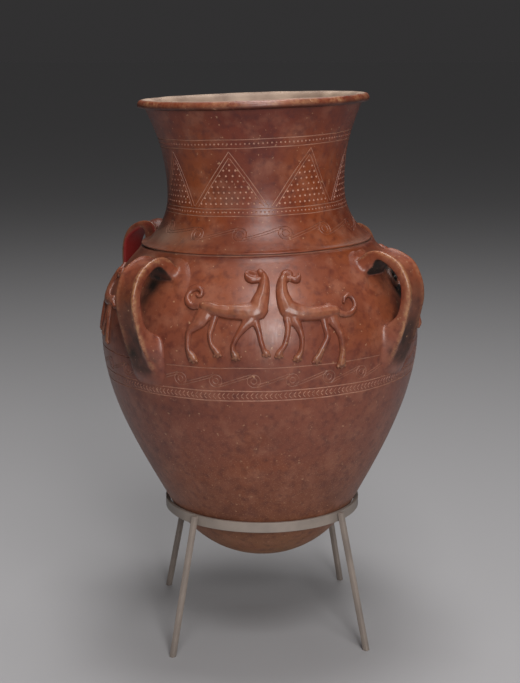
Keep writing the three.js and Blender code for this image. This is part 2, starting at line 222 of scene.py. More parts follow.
@dataclass(frozen=True)
class Outline:
    """The vase's outer surface, as (radius, height above its underside), and its lean.

    Slopes are in degrees. lumps and band_drift are how far hand work swells the wall and lets
    its bands wander, and band_tilt how far the neck's upper bands slope to the right.
    """

    foot: tuple[float, float] = (121.9, 77.1)
    foot_slope: float = 63.1
    base_flatness: float = 83.2
    belly: tuple[float, float] = (202.8, 297.1)
    ledge: tuple[float, float] = (152.6, 405.8)
    shoulder_slope: float = 44.7
    collar_run: float = 13.0
    collar_rise: float = 2.2
    collar_inset: float = 1.6
    flare_slope: float = 39.2
    waist: tuple[float, float] = (112.0, 479.7)
    mouth: tuple[float, float] = (135.8, 584.0)
    mouth_slope: float = 66.8
    wall: float = 9.5
    place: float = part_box("base_bowl")[0].z / MM
    ring_top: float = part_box("stand_ring")[1].z / MM
    lean: float = 11.1
    lean_power: float = 1.55
    lumps: float = 0.45
    lump_size: float = 55.0
    band_drift: float = 0.8
    band_tilt: float = 1.3
    tilt_from: tuple[float, float] = (470.0, 540.0)
    tilt_until: float = 550.0
    even_foot: tuple[float, float] = (20.0, 60.0)
    even_joint: float = 12.0
    line: np.ndarray = field(init=False, repr=False)
    arc: np.ndarray = field(init=False, repr=False)
    normals: np.ndarray = field(init=False, repr=False)

    def __post_init__(self) -> None:
        """Works out the line, the way walked along it and its outward directions."""
        body = self.belly[1] - self.foot[1]
        shoulder = self.ledge[1] - self.belly[1]
        neck = self.waist[1] - self.neck_foot[1]
        throat = self.mouth[1] - self.waist[1]
        rise, shoulder_way = self.foot_slope, 180 - self.shoulder_slope
        # Each stretch leaves and arrives over a share of its rise, fitted to the photograph's outline
        line = np.vstack([
            bezier((0, 0), (self.base_flatness, 0), polar(rise, 0.114 * self.foot[1]), self.foot),
            bezier(self.foot, polar(rise, 0.218 * body), (0, 0.381 * body), self.belly)[1:],
            bezier(self.belly, (0, 0.467 * shoulder), polar(shoulder_way, 0.373 * shoulder), self.ledge)[1:],
            np.linspace(self.ledge, self.collar, 20)[1:],
            bezier(self.neck_foot, polar(180 - self.flare_slope, 0.4 * neck), (0, 0.418 * neck), self.waist),
            bezier(self.waist, (0, 0.429 * throat), polar(self.mouth_slope, 0.331 * throat),
                   self.mouth)[1:],
        ])
        arc = walked(line)
        along = np.gradient(line, arc, axis=0)
        along /= np.linalg.norm(along, axis=1)[:, None]
        object.__setattr__(self, "line", line)
        object.__setattr__(self, "arc", arc)
        object.__setattr__(self, "normals", np.stack([along[:, 1], -along[:, 0]], 1))

    @property
    def collar(self) -> tuple[float, float]:
        """Where the shoulder ends, under the neck's rolled edge."""
        run = polar(180 - self.shoulder_slope, self.collar_run)
        return self.ledge[0] + run[0], self.ledge[1] + run[1]

    @property
    def neck_foot(self) -> tuple[float, float]:
        """Where the neck's own curve starts, on top of its rolled edge."""
        return self.collar[0] - self.collar_inset, self.collar[1] + self.collar_rise

    def radius(self, height: np.ndarray | float) -> np.ndarray:
        """Outer radius at a height."""
        return np.interp(height, self.line[:, 1], self.line[:, 0])

    def arc_of(self, height: np.ndarray | float) -> np.ndarray:
        """Way along the line from the underside's middle to a height."""
        return np.interp(height, self.line[:, 1], self.arc)

    def normal(self, height: np.ndarray) -> np.ndarray:
        """Outward direction at a height, as (radius, height)."""
        return np.stack([np.interp(height, self.line[:, 1], self.normals[:, k]) for k in (0, 1)], -1)

    def point(self, arc: np.ndarray, out: np.ndarray | float = 0.0) -> np.ndarray:
        """Points on or off the surface.

        Args:
            arc: Ways along the line.
            out: How far out of the surface.

        Returns:
            Points as (radius, height).
        """
        base = np.stack([np.interp(arc, self.arc, self.line[:, k]) for k in (0, 1)], -1)
        normal = np.stack([np.interp(arc, self.arc, self.normals[:, k]) for k in (0, 1)], -1)
        return base + normal * np.asarray(out)[..., None]

    def depth(self, places: np.ndarray) -> np.ndarray:
        """How far upright places lie out of the surface, negative inside it."""
        gap = radii(places) - self.radius(places[:, 2])
        return gap * self.normal(places[:, 2])[:, 0]

    def lay(self, flat: np.ndarray, azimuth: float, height: float, around: float) -> np.ndarray:
        """Lays flat points on the wall.

        Args:
            flat: Points as (along, up, out).
            azimuth: Where the flat layout's middle goes, in degrees from the front.
            height: The height of the layout's line up = 0.
            around: The radius at which a length along is a true length.

        Returns:
            The points in the upright vase's space.
        """
        angle = math.radians(azimuth) + flat[:, 0] / around
        return wrapped(self.point(self.arc_of(height) + flat[:, 1], flat[:, 2]), angle)

    def handled(self, places: np.ndarray) -> np.ndarray:
        """Gives the upright vase the unevenness of hand work: soft lumps and bands that wander.

        Args:
            places: Points of the even vase.

        Returns:
            Where hand work has them.
        """
        radius = np.maximum(radii(places), 1.0)
        normal = self.normal(places[:, 2])
        lump = self.lumps * smooth_noise(places, self.lump_size, 3.1)
        lump += 0.35 * self.lumps * smooth_noise(places, 0.36 * self.lump_size, 7.7)
        drift = self.band_drift * smooth_noise(places, 0.7 * self.lump_size, 5.2)
        tilt = self.band_tilt * places[:, 0] / self.waist[0]
        drift += (tilt * eased(places[:, 2], *self.tilt_from)
                  * eased(places[:, 2], self.mouth[1], self.tilt_until))
        # The underside stays even, and so does the joint at the neck's foot
        ease = eased(places[:, 2], *self.even_foot)
        calm = ease * eased(np.abs(places[:, 2] - self.collar[1]), 0, self.even_joint)
        out = places.copy()
        outward = (ease * lump * normal[:, 0] - calm * drift * normal[:, 1]) / radius
        out[:, :2] += places[:, :2] * outward[:, None]
        out[:, 2] += ease * lump * normal[:, 1] + calm * drift * normal[:, 0]
        return out

    def leaned(self, places: np.ndarray) -> np.ndarray:
        """Leans the vase, more and more from the ring upwards.

        Args:
            places: Points of the upright vase.

        Returns:
            Where the lean has them.
        """
        seat = self.ring_top - self.place
        span = self.mouth[1] - seat
        share = np.clip((places[:, 2] - seat) / span, 1e-9, None)
        tilt = np.arctan(-self.lean * self.lean_power * share ** (self.lean_power - 1) / span)
        shift = -self.lean * share**self.lean_power
        out = places.copy()
        out[:, 0] = places[:, 0] * np.cos(tilt) + shift
        out[:, 2] = places[:, 2] - places[:, 0] * np.sin(tilt)
        return out

    def seated(self, places: np.ndarray) -> np.ndarray:
        """Makes upright places uneven, leans them and sets them down in the ring."""
        out = self.leaned(self.handled(places))
        out[:, 2] += self.place
        return out


VASE = Outline()


# Finishes


def linear(code: str) -> tuple[float, float, float, float]:
    """A hex colour as the linear colour that shaders take."""
    parts = [int(code[i:i + 2], 16) / 255 for i in (1, 3, 5)]
    return (*[p / 12.92 if p <= 0.04045 else ((p + 0.055) / 1.055) ** 2.4 for p in parts], 1.0)


def emptied(block: Material | World) -> NodeTree:
    """Gives a material or a world an empty node tree."""
    block.use_nodes = True
    block.node_tree.nodes.clear()
    return block.node_tree


def add(tree: NodeTree, kind: str, inputs: dict | None = None,
        stops: Sequence[tuple[float, str]] = (), **settings) -> Node:
    """Adds a node with its settings, values and links.

    Args:
        tree: The material's node tree.
        kind: The node's type.
        inputs: Values, or output sockets to link, by input name or number.
        stops: A colour ramp's stops, as (position, hex colour).
        **settings: The node's own properties.

    Returns:
        The new node.
    """
    node = tree.nodes.new(kind)
    for name, value in settings.items():
        setattr(node, name, value)
    for name, value in (inputs or {}).items():
        if isinstance(value, NodeSocket):
            tree.links.new(value, node.inputs[name])
        else:
            node.inputs[name].default_value = value
    for _ in stops[2:]:
        node.color_ramp.elements.new(0.5)
    for place, (position, code) in enumerate(stops):
        node.color_ramp.elements[place].position = position
        node.color_ramp.elements[place].color = linear(code)
    return node


@dataclass(frozen=True)
class Cloud:
    """A soft mask from noise, with lumps of a size in millimetres.

    The mask goes from faint where the noise is at low to full where it is at high.
    """

    size: float
    detail: float
    low: float
    high: float
    faint: float = 0.0


@dataclass(frozen=True)
class Coat:
    """A colour laid over what is under it, where a painted mask says, and broken up by a cloud."""

    colour: str
    strength: float
    mask: str = ""
    cloud: Cloud | None = None


# What breaks up the clouds that are placed one by one, and the slip's coats from the lowest up
RAGGED = Cloud(30.0, 4, 0.3, 0.7, faint=0.45)
COATS = (
    # Darker and more orange clouds; the third coat also paints shade under the neck's edge and under the lip
    Coat("#4a1e14", 0.5, cloud=Cloud(90.0, 3, 0.5, 0.74)),
    Coat("#8f4a26", 0.4, cloud=Cloud(63.0, 4, 0.52, 0.7)),
    Coat("#4d160e", 0.85, "scorch_and_shade", RAGGED),
    Coat("#944c22", 0.7, "ember", RAGGED),
    # Blotches of thin and of thick slip
    Coat("#9a644e", 0.6, cloud=Cloud(26.0, 6, 0.48, 0.76)),
    Coat("#45191a", 0.55, cloud=Cloud(9.0, 5, 0.48, 0.72)),
    # Painted shade and shadow, with some darker clay, and bright unworn slip
    Coat("#21160f", 1.0, "shade_and_soot", RAGGED),
    Coat("#8c0f12", 0.9, "fresh"),
    # Pale specks and pits, and fine grit low on the belly
    Coat("#b98f70", 0.7, cloud=Cloud(5.0, 2, 0.69, 0.75)),
    Coat("#a87f63", 0.5, cloud=Cloud(2.4, 2, 0.70, 0.78)),
    Coat("#a87a5e", 0.5, "low", Cloud(1.6, 2, 0.55, 0.7)),
    # Dust in the marks, and clay bared by rubbing
    Coat("#c4957f", 1.0, "dust", Cloud(14.0, 3, 0.3, 0.6, faint=0.45)),
    Coat("#ab7d59", 0.85, "wear", Cloud(3.6, 5, 0.34, 0.58)))


@dataclass(frozen=True)
class BurnishedSlip:
    """Fired clay under an iron-red slip that was rubbed with a pebble before firing.

    The rubbing leaves a waxy sheen with short streaks, the fire leaves darker and more
    orange clouds, and wear leaves pale specks and pits. Marks hold pale dust. The attributes
    dust, inside, wear, fresh, shade_and_soot, scorch_and_shade and ember say how strongly marks,
    the bare inside with pale ash and painted highlights, rubbed edges, unworn slip, painted shade
    and shadow with some darker clay, dark clouds with painted shade, and orange clouds show.
    Sizes are in millimetres.
    """

    name: str = "burnished_red_slip"
    roughness: float = 0.31
    dulling: float = 0.35
    grain_size: float = 0.9
    grain_depth: float = 0.12
    streak_width: float = 2.63158
    streak_length: float = 20.0
    streak_depth: float = 0.25

    def make(self) -> Material:
        """Builds the material."""
        material = bpy.data.materials.new(self.name)
        tree = emptied(material)
        place = add(tree, "ShaderNodeTexCoord").outputs["Object"]
        height = add(tree, "ShaderNodeSeparateXYZ", {0: place}).outputs["Z"]

        def noisy(cloud: Cloud) -> NodeSocket:
            """The mask of a cloud."""
            lumps = add(tree, "ShaderNodeTexNoise", {
                "Vector": place, "Scale": 1 / (cloud.size * MM), "Detail": cloud.detail, "Roughness": 0.55})
            return add(tree, "ShaderNodeMapRange", {
                "Value": lumps.outputs[0], "From Min": cloud.low, "From Max": cloud.high,
                "To Min": cloud.faint}).outputs[0]

        def joined(operation: str, *values: NodeSocket | float) -> NodeSocket:
            """Values put together, with each result kept from 0 to 1.

            Args:
                operation: The Math node's operation.
                values: What is put together, one after the other.

            Returns:
                The last result.
            """
            total = values[0]
            for value in values[1:]:
                total = add(tree, "ShaderNodeMath", {0: total, 1: value}, operation=operation,
                            use_clamp=True).outputs[0]
            return total

        painted = {name: add(tree, "ShaderNodeAttribute", attribute_name=name).outputs["Fac"]
                   for name in ("scorch_and_shade", "ember", "shade_and_soot", "fresh", "dust", "wear", "inside")}
        painted["low"] = add(tree, "ShaderNodeMapRange", {
            "Value": height, "From Min": 0.37, "From Max": 0.25}).outputs[0]
        level = add(tree, "ShaderNodeMapRange", {"Value": height, "From Min": 0.09, "From Max": 0.70})
        colour = add(tree, "ShaderNodeValToRGB", {0: level.outputs[0]}, [
            (0.0, "#96683f"), (0.08, "#8a5a3c"), (0.16, "#7f4a33"), (0.3, "#7d4432"), (0.5, "#7c4231"),
            (0.62, "#854832"), (0.75, "#7b3a23"), (1.0, "#6f2c1b")]).outputs[0]
        # A Mix node's colours are its inputs 6 and 7 and its output 2, and its vectors 4, 5 and 1
        laid: dict[str, NodeSocket] = {}
        for coat in COATS:
            shares = [painted[coat.mask]] if coat.mask else []
            shares += [noisy(coat.cloud)] if coat.cloud else []
            laid[coat.mask] = joined("MULTIPLY", *shares, coat.strength)
            colour = add(tree, "ShaderNodeMix", {0: laid[coat.mask], 6: colour, 7: linear(coat.colour)},
                         data_type="RGBA").outputs[2]
        cream = add(tree, "ShaderNodeMix", {
            0: noisy(Cloud(40.0, 4, 0.35, 0.65)), 6: linear("#80695a"), 7: linear("#a8907d")},
            data_type="RGBA").outputs[2]
        colour = add(tree, "ShaderNodeMix", {0: painted["inside"], 6: colour, 7: cream},
                     data_type="RGBA").outputs[2]

        # The wall was rubbed up and down, and the neck round and round
        fine, long = 1 / (self.streak_width * MM), 1 / (self.streak_length * MM)
        upright = add(tree, "ShaderNodeMapping", {0: place, "Scale": (fine, fine, long)}).outputs[0]
        round_neck = add(tree, "ShaderNodeMapping", {0: place, "Scale": (long, long, fine)}).outputs[0]
        on_neck = add(tree, "ShaderNodeMapRange", {
            "Value": height, "From Min": 0.50, "From Max": 0.54}).outputs[0]
        streaks = add(tree, "ShaderNodeMix", {0: on_neck, 4: upright, 5: round_neck},
                      data_type="VECTOR").outputs[1]
        burnish = add(tree, "ShaderNodeTexNoise", {"Vector": streaks, "Scale": 1.0, "Detail": 3.0})
        grain = add(tree, "ShaderNodeTexNoise", {
            "Vector": place, "Scale": 1 / (self.grain_size * MM), "Detail": 2.0})
        shine = add(tree, "ShaderNodeMapRange", {
            "Value": burnish.outputs[0], "To Min": self.roughness - 0.08,
            "To Max": self.roughness + 0.12}).outputs[0]
        bare = joined("ADD", painted["dust"], painted["inside"], laid["shade_and_soot"], painted["fresh"],
                      joined("MULTIPLY", painted["low"], 0.5))
        dull = add(tree, "ShaderNodeMath", {0: bare, 1: self.dulling, 2: shine},
                   operation="MULTIPLY_ADD", use_clamp=True).outputs[0]
        bumps = add(tree, "ShaderNodeBump", {
            "Height": grain.outputs[0], "Distance": self.grain_depth * MM, "Strength": 0.35})
        strokes = add(tree, "ShaderNodeBump", {
            "Height": burnish.outputs[0], "Distance": self.streak_depth * MM, "Strength": 0.3,
            "Normal": bumps.outputs[0]})
        shader = add(tree, "ShaderNodeBsdfPrincipled", {
            "Base Color": colour, "Roughness": dull, "Normal": strokes.outputs[0], "IOR": 1.5})
        add(tree, "ShaderNodeOutputMaterial", {0: shader.outputs[0]})
        return material


@dataclass(frozen=True)
class PaintedSteel:
    """Mild steel bar under a satin warm grey paint, with the faint orange peel of a sprayed coat."""

    name: str = "grey_painted_steel"
    colour: str = "#978a80"
    shade: str = "#857a72"
    roughness: float = 0.5
    patch_size: float = 35.0
    peel_size: float = 1.6
    peel_depth: float = 0.08

    def make(self) -> Material:
        """Builds the material."""
        material = bpy.data.materials.new(self.name)
        tree = emptied(material)
        place = add(tree, "ShaderNodeTexCoord").outputs["Object"]
        patches = add(tree, "ShaderNodeTexNoise", {
            "Vector": place, "Scale": 1 / (self.patch_size * MM), "Detail": 4.0})
        colour = add(tree, "ShaderNodeValToRGB", {0: patches.outputs[0]}, [
            (0.35, self.shade), (0.65, self.colour)]).outputs[0]
        peel = add(tree, "ShaderNodeTexNoise", {"Vector": place, "Scale": 1 / (self.peel_size * MM)})
        bump = add(tree, "ShaderNodeBump", {
            "Height": peel.outputs[0], "Distance": self.peel_depth * MM, "Strength": 0.4})
        shine = add(tree, "ShaderNodeMapRange", {
            "Value": patches.outputs[0], "To Min": self.roughness - 0.07,
            "To Max": self.roughness + 0.1}).outputs[0]
        shader = add(tree, "ShaderNodeBsdfPrincipled", {
            "Base Color": colour, "Roughness": shine, "Normal": bump.outputs[0]})
        add(tree, "ShaderNodeOutputMaterial", {0: shader.outputs[0]})
        return material


# Making pieces


def meshed(bm: BMesh, name: str) -> Mesh:
    """Ends a bmesh as a mesh.

    Args:
        bm: The bmesh, in millimetres.
        name: The mesh's name.

    Returns:
        The mesh.
    """
    mesh = bpy.data.meshes.new(name)
    bm.to_mesh(mesh)
    bm.free()
    return mesh


def placed(mesh: Mesh, name: str) -> Object:
    """Puts a mesh in the scene.

    Args:
        mesh: The mesh.
        name: The piece's name.

    Returns:
        The piece.
    """
    piece = bpy.data.objects.new(name, mesh)
    bpy.context.scene.collection.objects.link(piece)
    return piece


def applied(piece: Object) -> None:
    """Applies a piece's modifiers to its mesh.

    Args:
        piece: The piece.
    """
    graph = bpy.context.evaluated_depsgraph_get()
    mesh = bpy.data.meshes.new_from_object(piece.evaluated_get(graph))
    old = piece.data
    piece.modifiers.clear()
    piece.data = mesh
    bpy.data.meshes.remove(old)


def rubbed(piece: Object, rounds: int, group: str = "") -> None:
    """Adds a smoothing to a piece's modifiers.

    Args:
        piece: The piece.
        rounds: Rounds of smoothing.
        group: The vertex group that weights it, if any.
    """
    rub = piece.modifiers.new("Rubbing", "SMOOTH")
    rub.factor = 0.5
    rub.iterations = rounds
    rub.vertex_group = group


def cut_away(piece: Object, cutters: Sequence[Object]) -> None:
    """Cuts helper objects out of a piece and removes them.

    Args:
        piece: The piece.
        cutters: Closed forms, each cut out in turn.
    """
    for cutter in cutters:
        cut = piece.modifiers.new(cutter.name, "BOOLEAN")
        cut.operation = "DIFFERENCE"
        cut.solver = "MANIFOLD"
        cut.object = cutter
    applied(piece)
    for cutter in cutters:
        mesh = cutter.data
        bpy.data.objects.remove(cutter)
        bpy.data.meshes.remove(mesh)


def stamp(bm: BMesh, template: Mesh, places: Sequence[Matrix]) -> None:
    """Adds copies of a small mesh to a bmesh.

    Args:
        bm: Where they go.
        template: The small mesh.
        places: The place of each copy.
    """
    for place in places:
        copy = template.copy()
        copy.transform(place)
        bm.from_mesh(copy)
        bpy.data.meshes.remove(copy)


def ball() -> Mesh:
    """A small ball of radius 1, for stamping."""
    bm = bmesh.new()
    bmesh.ops.create_icosphere(bm, subdivisions=2, radius=1.0)
    return meshed(bm, "ball")


def turned(profile: np.ndarray, steps: int, name: str) -> Object:
    """Spins a (radius, height) profile into a closed form.

    Args:
        profile: Points that start and end on the axis, or at one point.
        steps: Steps round the axis.
        name: The piece's name.

    Returns:
        The piece, upright and in millimetres.
    """
    bm = bmesh.new()
    ring = bool(np.allclose(profile[0], profile[-1]))
    points = profile[:-1] if ring else profile
    verts = [bm.verts.new((r, 0.0, h)) for r, h in points]
    for a, b in zip(verts, verts[1:]):
        bm.edges.new((a, b))
    if ring:
        bm.edges.new((verts[-1], verts[0]))
    bmesh.ops.spin(bm, geom=bm.verts[:] + bm.edges[:], cent=(0, 0, 0), axis=(0, 0, 1),
                   angle=TAU, steps=steps, use_merge=True)
    bmesh.ops.remove_doubles(bm, verts=bm.verts[:], dist=1e-3)
    bmesh.ops.recalc_face_normals(bm, faces=bm.faces[:])
    return placed(meshed(bm, name), name)


def pressed(piece: Object, voxel: float, rubs: int) -> None:
    """Joins a piece's overlapping lumps into one skin and rubs it smooth.

    Args:
        piece: The piece.
        voxel: How finely the skin follows the lumps.
        rubs: Rounds of smoothing.
    """
    blend = piece.modifiers.new("Pressing", "REMESH")
    blend.mode = "VOXEL"
    blend.voxel_size = voxel
    rubbed(piece, rubs)
    applied(piece)


def mark(mesh: Mesh, name: str, values: np.ndarray, domain: str = "POINT") -> None:
    """Stores a number on each vertex or face, for the finish to read."""
    layer = mesh.attributes.new(name, "FLOAT", domain)
    layer.data.foreach_set("value", values.astype(np.float32))


def finished(piece: Object, body: Body, material: Material,
             node: str, sharp: float = 40.0) -> None:
    """Scales a piece to metres, shades and dresses it, and seats it in the frame.

    Args:
        piece: The piece, in millimetres and in place.
        body: The body it rides on.
        material: Its finish.
        node: The CAD node that it stands for.
        sharp: The angle past which an edge is shaded as an edge, in degrees.
    """
    mesh = piece.data
    move_to(mesh, coordinates(mesh) * MM)
    mesh.polygons.foreach_set("use_smooth", np.ones(len(mesh.polygons), bool))
    mesh.set_sharp_from_angle(angle=math.radians(sharp))
    mesh.materials.clear()
    mesh.materials.append(material)
    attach(piece, body.value)
    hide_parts(node)
    LOG.info("%s: %d faces, rides on %s", piece.name, len(mesh.polygons), body.value)


# Marks in the wall


class Marks:
    """Cutters for marks pressed or scored into the wall, laid out flat round one height.

    Cutters that touch each other go in different batches, because a batch is cut at once.
    """

    def __init__(self, height: float, around: float | None = None) -> None:
        """Starts an empty layout.

        Args:
            height: The height of its line up = 0.
            around: The radius at which its lengths are true, where that isn't the wall's there.
        """
        self.height = height
        self.around = around or float(VASE.radius(height))
        self.batches: dict[str, BMesh] = {}
        self.ball = ball()
        self.bar = self.bar_template()

    @staticmethod
    def bar_template() -> Mesh:
        """A six-sided bar of length 1 along x and radius 1, cut into steps so that it can bend."""
        bm = bmesh.new()
        made = bmesh.ops.create_cone(bm, cap_ends=True, segments=6, radius1=1.0, radius2=1.0, depth=1.0,
                                     matrix=Matrix.Rotation(math.pi / 2, 4, "Y"))
        along = {edge for vert in made["verts"] for edge in vert.link_edges
                 if abs(edge.verts[0].co.x - edge.verts[1].co.x) > 0.5}
        bmesh.ops.subdivide_edges(bm, edges=list(along), cuts=8, use_grid_fill=True)
        return meshed(bm, "bar")

    def batch(self, name: str) -> BMesh:
        """The cutters of one batch."""
        if name not in self.batches:
            self.batches[name] = bmesh.new()
        return self.batches[name]

    def dot(self, x: float, y: float, radius: float, depth: float) -> None:
        """A round punch mark, cut by a ball whose middle stands a little out of the wall."""
        lay = Matrix.Translation((x, y, 0.35 * depth)) @ Matrix.Diagonal((radius, radius, 1.35 * depth, 1))
        stamp(self.batch("dots"), self.ball, [lay])

    def ring(self, x: float, y: float, radius: float, width: float, depth: float) -> None:
        """A stamped circle.

        Args:
            x: The way along the layout to its middle.
            y: The way up to its middle.
            radius: Its radius.
            width: How wide its groove is.
            depth: How deep its groove is.
        """
        bm = bmesh.new()
        section = bmesh.ops.create_circle(
            bm, cap_ends=False, segments=6, radius=1.0,
            matrix=Matrix.Translation((radius, 0, 0.2 * depth)) @ Matrix.Rotation(math.pi / 2, 4, "X")
            @ Matrix.Diagonal((width / 2, 1.2 * depth, 1, 1)))
        verts = section["verts"]
        edges = list({edge for vert in verts for edge in vert.link_edges})
        bmesh.ops.spin(bm, geom=verts + edges, cent=(0, 0, 0), axis=(0, 0, 1), angle=TAU,
                       steps=36, use_merge=True)
        mesh = meshed(bm, "ring")
        stamp(self.batch("rings"), mesh, [Matrix.Translation((x, y, 0))])
        bpy.data.meshes.remove(mesh)

    def line(self, start: Sequence[float], end: Sequence[float], width: float,
             depth: float, batch: str) -> None:
        """A straight scored line with a rounded groove.

        Args:
            start: One end, as (along, up).
            end: The other end.
            width: How wide the groove is.
            depth: How deep the groove is.
            batch: The batch that it is cut with.
        """
        a, b = Vector((*start, 0)), Vector((*end, 0))
        turn = Matrix.Rotation(math.atan2(b.y - a.y, b.x - a.x), 4, "Z")
        lay = Matrix.Translation((a + b) / 2 + Vector((0, 0, 0.2 * depth))) @ turn
        stamp(self.batch(batch), self.bar,
              [lay @ Matrix.Diagonal(((b - a).length, width / 2, 1.2 * depth, 1))])

    def round_count(self, spacing: float) -> tuple[int, float]:
        """How many marks of about a spacing fit round the wall, and their true spacing."""
        count = round(TAU * self.around / spacing)
        return count, TAU * self.around / count

    def along(self, azimuth: float) -> float:
        """The way along the layout to an azimuth in degrees."""
        return self.around * math.radians(azimuth)

    def carve(self, piece: Object) -> None:
        """Cuts the marks out of a piece of the wall.

        Args:
            piece: The upright piece.
        """
        cutters = []
        for name, bm in self.batches.items():
            bmesh.ops.remove_doubles(bm, verts=bm.verts[:], dist=1e-3)
            bmesh.ops.recalc_face_normals(bm, faces=bm.faces[:])
            mesh = meshed(bm, f"cutter_{name}")
            move_to(mesh, VASE.lay(coordinates(mesh), 0.0, self.height, self.around))
            cutters.append(placed(mesh, mesh.name))
        cut_away(piece, cutters)
        bpy.data.meshes.remove(self.ball)
        bpy.data.meshes.remove(self.bar)


# The vase


# Dark clouds that the fire left, and painted shade on the neck under the lip, as azimuth, height, half
# width, half height and strength
SCORCH_AND_SHADE = (
    (5, 530, 26, 46, 1.0), (-5, 575, 40, 12, 0.6), (24, 586, 40, 8, 0.2), (-22, 505, 14, 22, 0.5),
    (20, 345, 30, 24, 0.35), (-48, 250, 40, 60, 0.5), (-20, 240, 40, 22, 0.35), (62, 262, 30, 40, 0.35),
    (150, 520, 40, 50, 0.8), (200, 300, 60, 60, 0.6), (110, 230, 50, 60, 0.5), (250, 420, 50, 30, 0.5))
# Orange clouds
EMBER = (
    (-40, 490, 26, 60, 0.9), (38, 500, 30, 60, 0.8), (-45, 432, 24, 22, 0.8), (44, 424, 30, 26, 0.9),
    (52, 330, 30, 50, 0.6), (14, 372, 30, 16, 0.5), (-16, 392, 20, 8, 0.6), (120, 440, 50, 40, 0.8),
    (190, 560, 40, 30, 0.7), (240, 250, 50, 40, 0.5))
# Painted shadow on the wall under the handles
SHADOW_UNDER_HANDLES = (
    (-44, 392, 14, 13, 2.0), (-45.5, 380, 11, 13, 1.8), (-47, 364, 8, 11, 1.2), (66, 390, 14, 12, 2.0),
    (66, 376, 12, 13, 1.8), (65, 358, 9, 13, 1.6), (61, 342, 5, 10, 1.0), (139, 382, 14, 18, 1.2),
    (229.5, 390, 14, 18, 1.2))
# Pale ash, and painted highlights such as the lit top of the neck's edge at the left
ASH_AND_HIGHLIGHTS = (
    (-66, 430, 62, 13, 1.0), (2, 318, 6, 22, 0.4), (-62, 404, 24, 5, 0.5), (-17, 476, 16, 14, 0.35),
    (62, 418, 40, 4, 0.5), (170, 430, 40, 8, 0.8))


